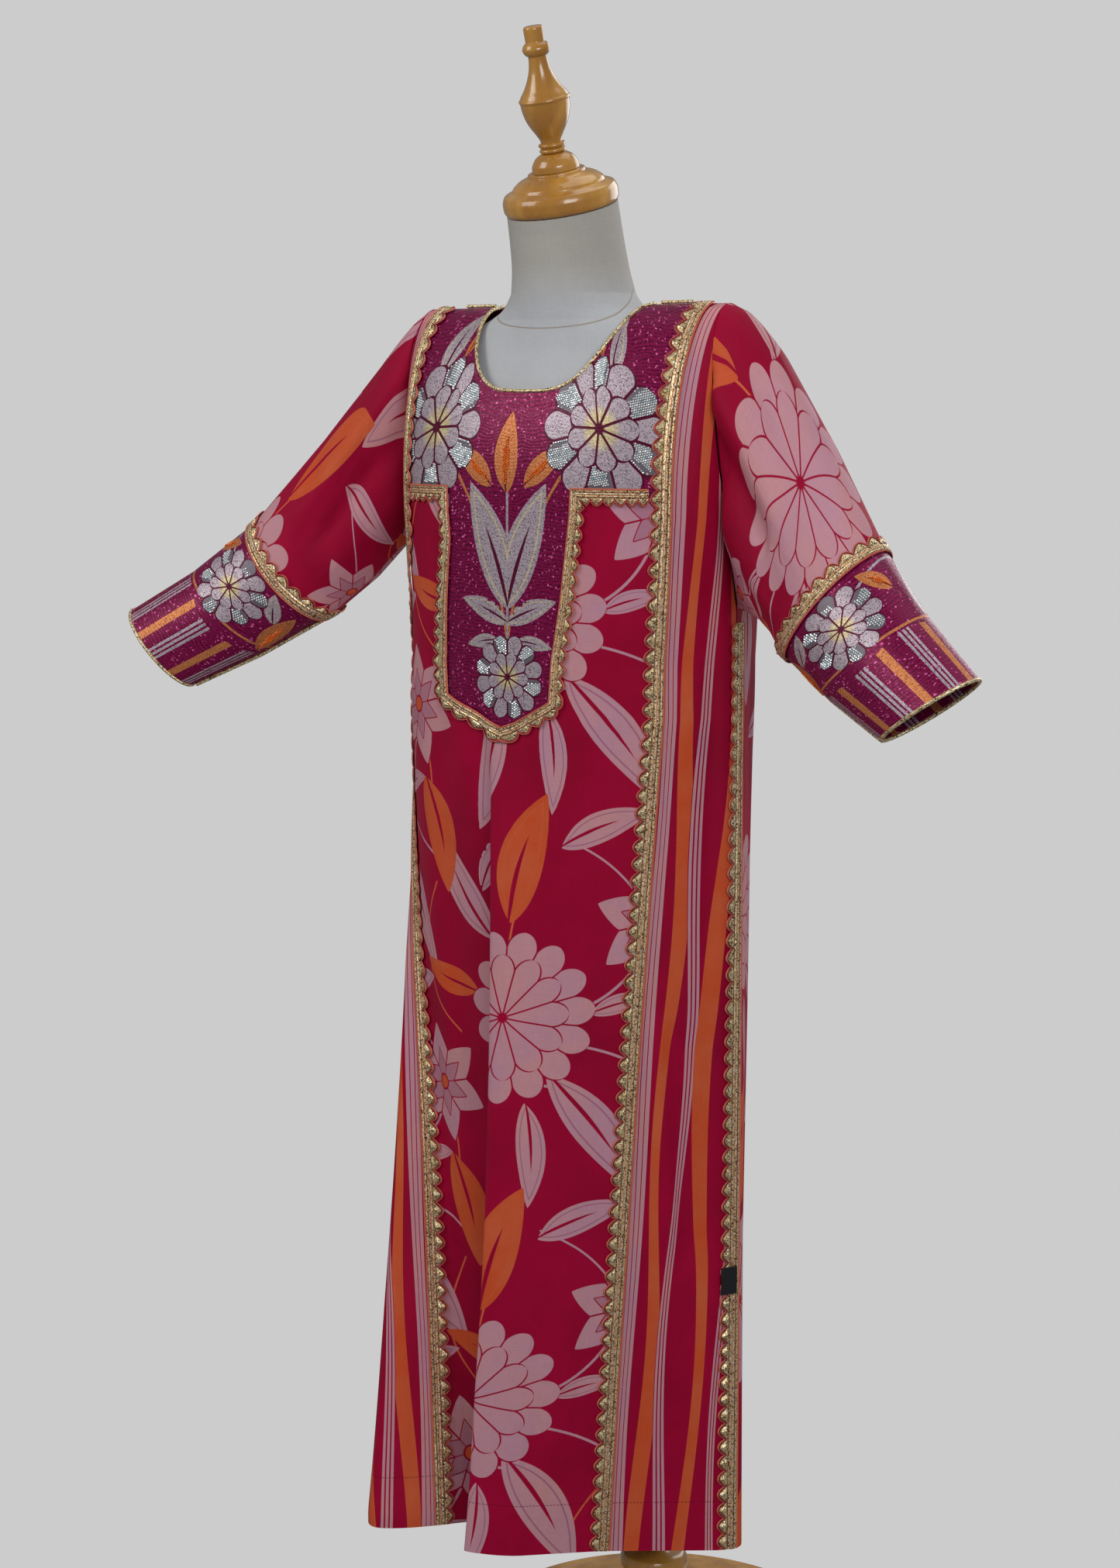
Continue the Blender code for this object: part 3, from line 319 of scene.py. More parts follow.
def make_object(name, points, faces, layers=None, smooth=True, sharp=50.0):
    """Mesh object from arrays. layers hold values for each point: 2 columns make a UV map,
    3 a vector and 1 a plain number."""
    mesh = bpy.data.meshes.new(name)
    mesh.from_pydata(points.tolist(), [], faces.tolist() if hasattr(faces, "tolist") else faces)
    for title, values in (layers or {}).items():
        loops = np.empty(len(mesh.loops), int)
        mesh.loops.foreach_get("vertex_index", loops)
        if values.ndim == 1:
            made = mesh.attributes.new(title, "FLOAT", "POINT")
            made.data.foreach_set("value", values.astype(np.float32))
        elif values.shape[1] == 2:
            made = mesh.uv_layers.new(name=title)
            made.data.foreach_set("uv", values[loops].astype(np.float32).ravel())
        else:
            made = mesh.attributes.new(title, "FLOAT_VECTOR", "POINT")
            made.data.foreach_set("vector", values.astype(np.float32).ravel())
    mesh.validate()
    if smooth:
        mesh.shade_smooth()
        mesh.set_sharp_from_angle(angle=math.radians(sharp))
    made = bpy.data.objects.new(name, mesh)
    bpy.context.scene.collection.objects.link(made)
    return made


def face_out(made):
    """Turn the faces of a closed mesh outwards."""
    work = bmesh.new()
    work.from_mesh(made.data)
    bmesh.ops.recalc_face_normals(work, faces=work.faces)
    work.to_mesh(made.data)
    work.free()


def face_corners(mesh):
    """Flat coordinates of each face corner, the face it belongs to, and each face's middle."""
    flat = np.empty(len(mesh.loops) * 2)
    mesh.uv_layers["cloth"].data.foreach_get("uv", flat)
    flat = flat.reshape(-1, 2)
    counts = np.empty(len(mesh.polygons), int)
    mesh.polygons.foreach_get("loop_total", counts)
    owner = np.repeat(np.arange(len(counts)), counts)
    middle = np.stack([np.bincount(owner, flat[:, axis]) / counts for axis in range(2)], axis=1)
    return flat, owner, middle


def wall(name, outer, inner, layers=None, closed=False, keep=None):
    """A closed thin wall between two grids of the same shape. layers are grids too."""
    rows, columns = outer.shape[:2]
    count = rows * columns
    faces = grid_faces(rows, columns, closed, keep)
    rim = open_edges(faces)
    side = np.stack((rim[:, 1], rim[:, 0], rim[:, 0] + count, rim[:, 1] + count), axis=1)
    every = np.concatenate((faces, faces[:, ::-1] + count, side))
    used, new = np.unique(every, return_inverse=True)
    every = new.reshape(every.shape)
    points = np.concatenate((outer.reshape(-1, 3), inner.reshape(-1, 3)))[used]
    doubled = {}
    for title, grid in (layers or {}).items():
        flat = grid.reshape(count) if grid.ndim == 2 else grid.reshape(count, -1)
        doubled[title] = np.concatenate((flat, flat))[used]
    sides = points[every[:, 0]] - points[every[:, 2]], points[every[:, 1]] - points[every[:, 3]]
    outward = np.cross(*sides)[:len(faces)]
    away = (outer.reshape(-1, 3) - inner.reshape(-1, 3))[faces[:, 0]]
    if np.sum(outward * away) < 0.0:
        every = every[:, ::-1]
    return make_object(name, points, every, doubled)


# %% [markdown]
# ## Panels of the body
# The front, the yoke, two side panels and the back are cut-and-sewn pieces. Each is a
# fine grid of stations and heights. The front and the yoke share one grid, divided where
# the yoke and its placket end, and their columns follow the knife fold down to the hem.

# %% Panels
SEAM_GAP = 0.0005
SHOULDER_SHIFT = 0.0005
PLACKET_MIDDLE = -0.05
PLACKET_HALF = 0.34
PLACKET_CORNER_HEIGHT = 0.907
PLACKET_TIP_HEIGHT = 0.879
FRONT_EDGE = 0.9982
FOLD_TOP = 0.78


def neck_edge(station, lowest):
    """Height of the top edge: a high power of the station, then level at the shoulder."""
    part = np.clip(np.abs(station) / NECK_STATION, 0.0, 1.0)
    return lowest + (SHOULDER_HEIGHT - lowest) * part ** NECK_SQUARENESS


def spread(marks, counts):
    """Evenly spaced values between each pair of marks, a count for each stretch."""
    runs = [np.linspace(low, high, count, endpoint=False)
            for low, high, count in zip(marks, marks[1:], counts)]
    return np.concatenate(runs + [np.array([marks[-1]])])


def seam_speed(station, height):
    """Metres round the cloth for one station."""
    near = body_point(station + 0.02, height) - body_point(station - 0.02, height)
    return np.linalg.norm(near, axis=-1) / 0.04


def hem_line(stations, heights):
    """Let the rows near the hem follow its own line, by a soft share of its lift."""
    share = smooth_step((YOKE_LOW - heights) / (YOKE_LOW - HEM_HEIGHT))
    return heights + hem_value(stations, 3) * share


def cloth_lengths(points, stations, zero):
    """Distance round the cloth of each point of each row, from the station called zero."""
    step = np.linalg.norm(np.diff(points, axis=1), axis=-1)
    along = np.concatenate((np.zeros((len(points), 1)), np.cumsum(step, axis=1)), axis=1)
    start = np.array([np.interp(zero, row, length) for row, length in zip(stations, along)])
    return along - start[:, None]


def placket_low(station):
    """Height of the placket's lower edge: two slants that meet in a point."""
    aside = np.clip(np.abs(station - PLACKET_MIDDLE) / PLACKET_HALF, 0.0, 1.0)
    return PLACKET_TIP_HEIGHT + (PLACKET_CORNER_HEIGHT - PLACKET_TIP_HEIGHT) * aside


def panel(name, stations, heights, shift, zero, keep=None):
    """One panel: its outer face is the creased cloth and its inner face lies under it.

    Its flat coordinates are metres round the cloth and the height. Its band holds
    the distances from its first and last edge, and the height over the hem.
    """
    outer = cloth_point(stations, heights)
    inner = cloth_point(stations, heights, -CLOTH)
    outer[..., 1] += shift
    inner[..., 1] += shift
    around = cloth_lengths(outer, stations, zero)
    near = np.abs(around - around[:, :1])
    layers = {"cloth": np.stack((around, heights), axis=-1),
              "band": np.stack((near, near[:, -1:] - near, heights - heights[-1:]), axis=-1)}
    return wall(name, outer, inner, layers, keep=keep), layers["cloth"]


at_hem = spread((-1.0, -0.48, -0.30, 0.13, 0.33, 1.0), (26, 10, 20, 16, 34))
even = np.linspace(-1.0, 1.0, len(at_hem))
top = neck_edge(even, FRONT_NECK_HEIGHT)
down_yoke = np.linspace(0.0, 1.0, 56)[:-1, None]
down_skirt = np.linspace(0.0, 1.0, 270)[:, None]
heights = np.concatenate((top + (YOKE_LOW - top) * down_yoke,
                          YOKE_LOW + (HEM_HEIGHT - YOKE_LOW) * down_skirt + 0.0 * top))
heights = hem_line(at_hem, heights)
folded = move_fold(at_hem, fold_at(HEM_HEIGHT), fold_at(heights))
stations = folded + (even - folded) * smooth_step((heights - FOLD_TOP) / 0.16)
stations = np.clip(stations, -FRONT_EDGE, FRONT_EDGE)
middle_station = (stations[:-1, :-1] + stations[1:, 1:]) * 0.5
middle_height = (heights[:-1, :-1] + heights[1:, 1:]) * 0.5
in_placket = np.abs(middle_station - PLACKET_MIDDLE) < PLACKET_HALF
in_placket &= middle_height > placket_low(middle_station)
yoke_cells = in_placket | (middle_height > YOKE_LOW)
front, _ = panel("printed_front", stations, heights, -SHOULDER_SHIFT, 0.0, ~yoke_cells)
yoke, yoke_uv = panel("embroidered_yoke", stations, heights, -SHOULDER_SHIFT, 0.0, yoke_cells)
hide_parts("front_panel")
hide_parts("yoke")
yoke_grid = (yoke_uv, np.stack((stations, heights), axis=-1))


def armhole_station(height, side, behind):
    """Station of the armhole's edge. Its angle runs evenly from the shoulder down to the side seam,
    where it stays."""
    part = np.clip((SHOULDER_HEIGHT - height) / (SHOULDER_HEIGHT - UNDERARM_HEIGHT[side]), 0.0, 1.0)
    braid = read_table(PANEL_ANGLES, height, 1 if side > 0 else 3)
    seam = read_table(PANEL_ANGLES, height, 2 if side > 0 else 4)
    if behind:
        angle = 180.0 - ARMHOLE_TOP_ANGLE + (seam - 180.0 + ARMHOLE_TOP_ANGLE) * part
        return 2.0 + 2.0 * (angle - seam) / (180.0 - seam)
    angle = ARMHOLE_TOP_ANGLE + (seam - ARMHOLE_TOP_ANGLE) * part
    return 1.0 + (angle - braid) / (seam - braid)


side_panels = {}
for side, word in ((1, "left"), (-1, "right")):
    heights = spread((SHOULDER_HEIGHT, UNDERARM_HEIGHT[side], HEM_HEIGHT), (66, 200))[:, None]
    outer_station = armhole_station(heights, side, False)
    inset = SEAM_GAP * 0.5 / seam_speed(side * 1.5, heights)
    stations = side * (1.0 + inset + (outer_station - 1.0 - 2.0 * inset) * np.linspace(0.0, 1.0, 34))
    heights = hem_line(stations, heights + 0.0 * stations)
    piece, _ = panel("striped_side_" + word, stations, heights, -SHOULDER_SHIFT, side * 1.0)
    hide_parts("side_panel_" + word)
    side_panels[side] = piece

reach = {}
heights = spread((SHOULDER_HEIGHT, 0.99, HEM_HEIGHT), (66, 176))
for side in (1, -1):
    outer_station = armhole_station(heights, side, True)
    reach[side] = (4.0 - outer_station - SEAM_GAP * 0.5 / seam_speed(side * 2.2, heights))[:, None]
parts = np.linspace(-1.0, 1.0, 122)
from_middle = np.where(parts < 0.0, reach[1], reach[-1]) * parts
stations = 4.0 + from_middle
top = neck_edge(from_middle[0], BACK_NECK_HEIGHT)
share = ((heights - HEM_HEIGHT) / (SHOULDER_HEIGHT - HEM_HEIGHT))[:, None]
heights = heights[:, None] + (top - SHOULDER_HEIGHT) * smooth_step((share - 0.85) / 0.15)
heights = hem_line(stations, heights)
back, _ = panel("printed_back", stations, heights, SHOULDER_SHIFT, 4.0)
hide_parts("back_panel")
print("body panels:", front.name, yoke.name, back.name, [piece.name for piece in side_panels.values()])

# %% [markdown]
# ## Sleeves and cuffs
# A sleeve starts as the armhole and turns into an ellipse that leads down the arm. The
# place down the arm runs from 0 at the armhole to 3 at the cuff's seam and 5 at its edge.
# The turn runs round the arm, from the top of the shoulder down the front.

# %% Sleeves
SLEEVE = {
    1: np.array([
        # place, upper across, upper height, lower across, lower height, y, half depth
        (0.0, 0.152, 1.238, 0.166, 0.990, -0.077, 0.040),
        (0.5, 0.181, 1.228, 0.180, 0.985, -0.078, 0.046),
        (1.0, 0.203, 1.198, 0.192, 0.980, -0.081, 0.048),
        (2.0, 0.257, 1.127, 0.213, 0.970, -0.095, 0.048),
        (3.0, 0.318, 1.048, 0.236, 0.959, -0.121, 0.044),
        (4.0, 0.374, 0.996, 0.294, 0.928, -0.148, 0.037),
        (5.0, 0.430, 0.955, 0.352, 0.903, -0.173, 0.030),
    ]),
    -1: np.array([
        (0.0, 0.152, 1.238, 0.160, 1.038, -0.077, 0.040),
        (0.5, 0.176, 1.224, 0.176, 1.040, -0.078, 0.044),
        (1.0, 0.199, 1.196, 0.192, 1.028, -0.081, 0.044),
        (2.0, 0.256, 1.128, 0.213, 1.000, -0.095, 0.044),
        (3.0, 0.318, 1.053, 0.238, 0.970, -0.121, 0.040),
        (4.0, 0.374, 1.006, 0.299, 0.933, -0.148, 0.031),
        (5.0, 0.429, 0.970, 0.360, 0.903, -0.173, 0.023),
    ]),
}
ARMHOLE_GAP = 0.0010
CUFF_PLACE = 3.0
SLEEVE_CREASES = {
    1: np.array([
        # turn at the top, turn at the foot, first place, last place, width in turns, rise
        (1.15, 1.35, 0.05, 2.30, 0.17, 0.0070), (1.52, 1.70, 0.05, 2.00, 0.15, -0.0075),
        (2.00, 2.15, 0.10, 2.70, 0.22, 0.0060), (0.80, 1.00, 0.30, 1.60, 0.15, -0.0030),
        (0.55, 0.85, 0.60, 2.90, 0.30, -0.0018),
        (4.10, 3.90, 0.20, 2.90, 0.30, 0.0030), (4.90, 4.70, 0.30, 2.80, 0.30, -0.0030),
    ]),
    -1: np.array([
        (1.20, 1.40, 0.15, 2.70, 0.20, 0.0045), (1.70, 1.90, 0.15, 2.50, 0.18, -0.0055),
        (2.40, 2.30, 0.30, 2.80, 0.26, 0.0030), (0.60, 0.80, 0.60, 2.90, 0.30, -0.0018),
        (4.20, 4.00, 0.20, 2.90, 0.30, 0.0030), (5.00, 4.80, 0.30, 2.80, 0.30, -0.0030),
    ]),
}


def armhole_ring(turn, side):
    """Edge of the armhole: its height falls with the cosine of the turn, in front and then behind."""
    height = SHOULDER_HEIGHT - (SHOULDER_HEIGHT - UNDERARM_HEIGHT[side]) * (1.0 - np.cos(turn)) * 0.5
    front_edge = body_point(side * armhole_station(height, side, False), height)
    back_edge = body_point(side * armhole_station(height, side, True), height)
    ring = np.where((turn < math.pi)[..., None], front_edge, back_edge)
    ring[..., 0] += side * ARMHOLE_GAP
    return ring


def sleeve_base(place, turn, side):
    """Ellipse through the upper and lower edge at that place, blended with the armhole near the body."""
    place, turn = np.broadcast_arrays(place, turn)
    columns = [read_table(SLEEVE[side], place, column) for column in range(1, 7)]
    top_x, top_z, low_x, low_z, middle_y, half_depth = columns
    x = (top_x + low_x) * 0.5 + np.cos(turn) * (top_x - low_x) * 0.5
    y = middle_y - np.sin(turn) * half_depth
    z = (top_z + low_z) * 0.5 + np.cos(turn) * (top_z - low_z) * 0.5
    ring = np.stack((BODY_MIDDLE[0] + x * side, y, z), axis=-1)
    blend = smooth_step(place)[..., None]
    return (1.0 - blend) * armhole_ring(turn, side) + blend * ring


def sleeve_point(place, turn, side, lift=0.0):
    """Point on the sleeve, moved out by its creases and a lift, along the normal from two small steps."""
    full = 2.0 * math.pi
    place, turn = np.broadcast_arrays(np.asarray(place, float), np.asarray(turn, float) % full)
    along = sleeve_base(np.minimum(place + 0.02, 5.0), turn, side)
    along -= sleeve_base(np.maximum(place - 0.02, 0.0), turn, side)
    around = sleeve_base(place, (turn + 0.01) % full, side) - sleeve_base(place, (turn - 0.01) % full, side)
    normals = np.cross(around, along) * side
    normals /= np.maximum(np.linalg.norm(normals, axis=-1, keepdims=True), 1e-12)
    out = np.zeros(place.shape) + lift
    for start, end, first, last, width, rise in SLEEVE_CREASES[side]:
        part = (place - first) / (last - first)
        aside = (turn - (start + (end - start) * np.clip(part, 0.0, 1.0)) + math.pi) % full - math.pi
        ends = smooth_step(part * 5.0) * smooth_step((1.0 - part) * 4.0)
        out = out + rise * np.exp(-(aside / width) ** 2) * ends
    return sleeve_base(place, turn, side) + normals * out[..., None]


def tube_piece(name, places, side, columns):
    """A length of sleeve between two places, as a closed ring of cloth.

    Its flat coordinates are metres round the arm, 0 at its top, and metres down
    it below 0. They are cut under the arm, where a tube's seam is.
    """
    turns = np.linspace(-math.pi, math.pi, columns, endpoint=False)
    place, turn = np.meshgrid(places, turns, indexing="ij")
    outer = sleeve_point(place, turn, side)
    inner = sleeve_point(place, turn, side, -CLOTH)
    girth = np.linalg.norm(outer - np.roll(outer, 1, axis=1), axis=-1).sum(axis=1).mean()
    down = run_lengths(outer.mean(axis=1))
    flat = np.stack((turn / (2.0 * math.pi) * girth, 0.0 * turn - down[:, None]), axis=-1)
    piece = wall(name, outer, inner, {"cloth": flat}, closed=True)
    corners, owner, _ = face_corners(piece.data)
    far = np.full(len(piece.data.polygons), -9.0)
    np.maximum.at(far, owner, corners[:, 0])
    corners[:, 0] += girth * (corners[:, 0] < far[owner] - girth * 0.5)
    piece.data.uv_layers["cloth"].data.foreach_set("uv", corners.astype(np.float32).ravel())
    return piece, (flat, np.stack((place, turn), axis=-1)), float(girth), float(down[-1])


sleeves = {}
cuff_grids = {}
girths = {}
for side, word in ((1, "left"), (-1, "right")):
    upper_places = np.linspace(0.0, CUFF_PLACE - 0.01, 88)
    sleeve, _, girth, length = tube_piece("printed_sleeve_" + word, upper_places, side, 160)
    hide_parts("sleeve_" + word)
    cuff_places = np.linspace(CUFF_PLACE + 0.01, 5.0, 70)
    made = tube_piece("embroidered_cuff_" + word, cuff_places, side, 140)
    cuff, cuff_grids[side], cuff_girth, cuff_length = made
    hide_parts("cuff_" + word)
    sleeves[side] = (sleeve, cuff)
    girths[side] = (girth, length, cuff_girth, cuff_length)
    print(word, "sleeve: girth %.3f m, length %.3f m, cuff: girth %.3f m, length %.3f m" % girths[side])

# %% [markdown]
# ## Gold scalloped braid
# The braid is a band of metal cords with round lobes along one edge, each holding a small
# raised triangle. Its height over the cloth is a sum of half-round cords across, and of a
# little roof in each lobe. The photograph has a lobe every 14.5 mm, and closer ones round
# the yoke.

# %% Braid
BRAID_WIDTH = 0.019
LOBE = 0.0055
PITCH = 0.0145
ROWS_A_LOBE = 8
CORD_BUMPS = (
    # middle and radius as shares of the width, and rise
    (0.05, 0.05, 0.0010), (0.17, 0.06, 0.0011), (0.30, 0.06, 0.0012), (0.44, 0.06, 0.0011))


def lobe_edge(phase, width, lobe):
    """Distance of the toothed edge from the middle: half the width, less the lobe, plus an arch of it."""
    return width * 0.5 - lobe + lobe * np.abs(np.sin(math.pi * phase)) ** 0.80


def braid_grid(count, width, lobe, columns=20):
    """Phase along, distance across and height of a braid with a count of lobes.

    The columns are fixed distances in the band of cords and stretch out to
    the toothed edge in the lobes.
    """
    phase = np.linspace(0.0, count, count * ROWS_A_LOBE + 1)[:, None]
    part = np.linspace(0.0, 1.0, columns)[None, :]
    edge = lobe_edge(phase, width, lobe)
    inner_edge = -width * 0.5 + width * 0.52
    band = -width * 0.5 + width * 0.52 * part / 0.55
    lobes = inner_edge + (edge - inner_edge) * (part - 0.55) / 0.45
    across = np.where(part < 0.55, band, lobes)
    from_plain = across + width * 0.5
    from_edge = edge - across
    cords = np.zeros(across.shape)
    for middle, radius, rise in CORD_BUMPS:
        aside = (from_plain / width - middle) / radius
        cords = np.maximum(cords, rise * np.sqrt(np.clip(1.0 - aside ** 2, 0.0, 1.0)))
    in_lobe = phase % 1.0 - 0.5
    roof = 1.0 - np.abs(in_lobe) / 0.34 - np.clip((from_plain / width - 0.58) / 0.42, -1.0, 2.0)
    inside = smooth_step((from_plain / width - 0.54) / 0.05)
    cords = np.maximum(cords, 0.0017 * np.clip(roof, 0.0, 0.55) / 0.55 * inside)
    rim = 0.0009 * np.sqrt(np.clip(1.0 - ((from_edge - 0.0008) / 0.0008) ** 2, 0.0, 1.0))
    height = 0.0004 + np.maximum(cords, rim * (from_plain > width * 0.53))
    return phase, across, height, from_plain, from_edge


def upright_braid(name, node, station, top, shift, lift):
    """Braid down the body at one station, its lobes towards the centre front."""
    low = HEM_HEIGHT + float(hem_value(station, 3)) + 0.001
    fine = np.linspace(top, low, 800)
    length = run_lengths(body_point(station, fine))
    count = int(round(length[-1] / PITCH))
    phase, across, rise, from_plain, from_edge = braid_grid(count, BRAID_WIDTH, LOBE)
    heights = np.interp(phase * length[-1] / count, length, fine)
    distance = -math.copysign(1.0, station) * across
    step = np.where(distance < 0.0, -0.02, 0.02)
    near = body_point(station + step, heights) - body_point(station, heights)
    speed = np.maximum(np.linalg.norm(near, axis=-1) / 0.02, 0.02)
    stations = station + distance / speed
    heights = heights + 0.0 * stations
    outer = cloth_point(stations, heights, lift + rise)
    inner = cloth_point(stations, heights, lift)
    outer[..., 1] += shift
    inner[..., 1] += shift
    layers = {"braid": np.stack((phase + 0.0 * across, from_plain / BRAID_WIDTH), axis=-1),
              "from_edge": from_edge}
    piece = wall(name, outer, inner, layers)
    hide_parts(node)
    return piece


braid_top = SHOULDER_HEIGHT - 0.0004
side_tops = {side: UNDERARM_HEIGHT[side] - 0.012 for side in (1, -1)}
braids = [
    upright_braid("braid_front_left", "front_trim_left", 1.0, braid_top, -SHOULDER_SHIFT, 0.0011),
    upright_braid("braid_front_right", "front_trim_right", -1.0, braid_top, -SHOULDER_SHIFT, 0.0015),
    upright_braid("braid_side_left", "side_trim_left", 2.0, side_tops[1], 0.0, 0.0011),
    upright_braid("braid_side_right", "side_trim_right", -2.0, side_tops[-1], 0.0, 0.0011),
]


# %% [markdown]
# ## Braid round the yoke
# The yoke's lower edge runs across the chest, down both sides of the placket and to its
# point. The braid follows these straight stretches and is mitred at each corner, where
# the direction out of the edge is the mean of its two neighbours, made longer.

# %% Yoke braid
YOKE_BRAID_WIDTH = 0.015
YOKE_LOBE = 0.0044
YOKE_PITCH = 0.0125
YOKE_BRAID_LIFT = 0.0015
PLACKET_RIGHT = PLACKET_MIDDLE - PLACKET_HALF
PLACKET_LEFT = PLACKET_MIDDLE + PLACKET_HALF


def yoke_corners():
    """Corners of the yoke's lower edge, as metres across and a height."""
    clear = (BRAID_WIDTH * 0.5 + 0.0008) / seam_speed(np.array((-0.95, 0.95)), YOKE_LOW)
    corners = np.array(((clear[0] - 1.0, YOKE_LOW), (PLACKET_RIGHT - 0.060, YOKE_LOW),
                        (PLACKET_RIGHT, PLACKET_CORNER_HEIGHT), (PLACKET_MIDDLE, PLACKET_TIP_HEIGHT),
                        (PLACKET_LEFT, PLACKET_CORNER_HEIGHT), (PLACKET_LEFT + 0.060, YOKE_LOW),
                        (1.0 - clear[1], YOKE_LOW)))
    return corners * (FRONT_SPEED, 1.0)


def mitred_strip(corners):
    """Braid along a line with corners: the rows near a corner lean towards its mitre."""
    ahead = np.diff(corners, axis=0)
    lengths = np.linalg.norm(ahead, axis=1)
    ahead /= lengths[:, None]
    outward = np.stack((ahead[:, 1], -ahead[:, 0]), axis=1)
    reach = YOKE_BRAID_WIDTH * 0.6
    mitres = [outward[0]]
    for before, after in zip(outward, outward[1:]):
        mitre = before + after
        mitres.append(mitre / (mitre @ after))
    mitres.append(outward[-1])
    parts = []
    for index, length in enumerate(lengths):
        count = max(2, int(round(length / YOKE_PITCH)))
        rows = slice(None) if index == len(lengths) - 1 else slice(0, -1)
        strip = [part[rows] for part in braid_grid(count, YOKE_BRAID_WIDTH, YOKE_LOBE, 18)]
        phase, across, rise, from_plain, from_edge = strip
        part = (phase / count)[:, 0]
        place = corners[index] + ahead[index] * (part * length)[:, None]
        first_share = np.clip(1.0 - part * length / reach, 0.0, 1.0)[:, None]
        last_share = np.clip(1.0 - (1.0 - part) * length / reach, 0.0, 1.0)[:, None]
        direction = outward[index] + (mitres[index] - outward[index]) * first_share
        direction = direction + (mitres[index + 1] - outward[index]) * last_share
        point = place[:, None, :] + direction[:, None, :] * across[..., None]
        parts.append((point, rise, phase + 0.0 * across, from_plain / YOKE_BRAID_WIDTH, from_edge))
    return [np.concatenate(part) for part in zip(*parts)]


flat, rise, along, from_plain, from_edge = mitred_strip(yoke_corners())
station_flat = flat[..., 0] / FRONT_SPEED
outer = cloth_point(station_flat, flat[..., 1], YOKE_BRAID_LIFT + rise)
inner = cloth_point(station_flat, flat[..., 1], YOKE_BRAID_LIFT)
outer[..., 1] -= SHOULDER_SHIFT
inner[..., 1] -= SHOULDER_SHIFT
layers = {"braid": np.stack((along, from_plain), axis=-1), "from_edge": from_edge}
yoke_braid = wall("braid_yoke", outer, inner, layers)
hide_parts("yoke_trim")
braids.append(yoke_braid)

# %% [markdown]
# ## Braid and cords on the cuffs
# A braid runs round each cuff's seam with its lobes up the arm. A twisted gold cord
# finishes the cuff's edge, and another its seam under the arm.

# %% Cuff braid
CUFF_BRAID_LIFT = 0.0013
CUFF_BRAID_WIDTH = BRAID_WIDTH * 0.9


def cuff_braid(side, word):
    """Braid round the arm: the distance across is a change of place down the arm."""
    turns = np.linspace(0.0, 2.0 * math.pi, 400)
    ring = sleeve_point(CUFF_PLACE, turns, side)
    length = run_lengths(ring)
    count = int(round(length[-1] / PITCH))
    strip = [part[:-1] for part in braid_grid(count, CUFF_BRAID_WIDTH, LOBE)]
    phase, across, rise, from_plain, from_edge = strip
    turn = np.interp(phase[:, 0] / count * length[-1], length, turns)[:, None]
    step = sleeve_point(CUFF_PLACE + 0.1, turn, side) - sleeve_point(CUFF_PLACE - 0.1, turn, side)
    slope = np.linalg.norm(step, axis=-1) / 0.2
    place = CUFF_PLACE - across / slope
    outer = sleeve_point(place, turn, side, CUFF_BRAID_LIFT + rise)
    inner = sleeve_point(place, turn, side, CUFF_BRAID_LIFT)
    layers = {"braid": np.stack((phase + 0.0 * across, from_plain / CUFF_BRAID_WIDTH), axis=-1),
              "from_edge": from_edge}
    piece = wall("braid_cuff_" + word, outer, inner, layers, closed=True)
    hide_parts("cuff_trim_" + word)
    return piece


# %% [markdown]
# A twisted cord is a tube whose radius swells and falls with the angle round it less a
# turn along it, which gives three strands laid round each other.

# %% Cord
CORD_RADIUS = 0.0016
STRANDS = 3
TWIST_PITCH = 0.0075


def cord(name, path, closed=False, sides=14, step=0.0009):
    """Tube of strands along a path, resampled to even steps, with frames carried along it."""
    if closed:
        path = np.concatenate((path, path[:1]))
    length = run_lengths(path)
    count = max(8, int(round(length[-1] / step)))
    places = np.linspace(0.0, length[-1], count + 1)
    line = np.stack([np.interp(places, length, path[:, axis]) for axis in range(3)], axis=1)
    ahead = np.gradient(line, axis=0)
    if closed:
        line = line[:-1]
        ahead = np.roll(line, -1, axis=0) - np.roll(line, 1, axis=0)
    ahead = unit(ahead)
    guide = unit(np.array((0.0, 0.0, 1.0)) - ahead * ahead[:, 2:3] + 1e-6)
    other = np.cross(ahead, guide)
    turn = np.linspace(0.0, 2.0 * math.pi, sides, endpoint=False)[None, :]
    along = places[:len(line), None]
    twists = max(1, round(length[-1] / TWIST_PITCH)) / length[-1]
    strands = np.abs(np.cos(0.5 * STRANDS * (turn - 2.0 * math.pi * along * twists)))
    swell = CORD_RADIUS * (0.86 + 0.14 * strands)[..., None]
    ring = np.cos(turn)[..., None] * guide[:, None] + np.sin(turn)[..., None] * other[:, None]
    grid = line[:, None] + swell * ring
    rows, columns = grid.shape[:2]
    uv = np.stack((along + 0.0 * turn, turn / (2.0 * math.pi) * 0.01 + 0.0 * along), axis=-1)
    if closed:
        faces = grid_faces(rows + 1, columns) % (rows * columns)
    else:
        faces = tube_faces(rows, columns)
    return make_object(name, grid.reshape(-1, 3), faces, {"cord": uv.reshape(-1, 2)})


cords = []
for side, word in ((1, "left"), (-1, "right")):
    braids.append(cuff_braid(side, word))
    turns = np.linspace(0.0, 2.0 * math.pi, 200, endpoint=False)
    last = sleeve_point(5.0, turns, side)
    before = sleeve_point(4.9, turns, side)
    out = unit(last.mean(axis=0) - before.mean(axis=0))
    middle = unit(last.mean(axis=0) - last)
    edge = last + middle * CLOTH * 0.5 + out * (CORD_RADIUS + 0.0003)
    edge_cord = cord("cord_cuff_edge_" + word, edge, closed=True)
    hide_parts("cuff_cord_" + word)
    places = np.linspace(3.13, 4.96, 60)
    seam_line = sleeve_point(places, math.pi, side, CORD_RADIUS * 0.9)
    seam_cord = cord("cord_cuff_seam_" + word, seam_line)
    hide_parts("cuff_seam_cord_" + word)
    cords.extend((edge_cord, seam_cord))

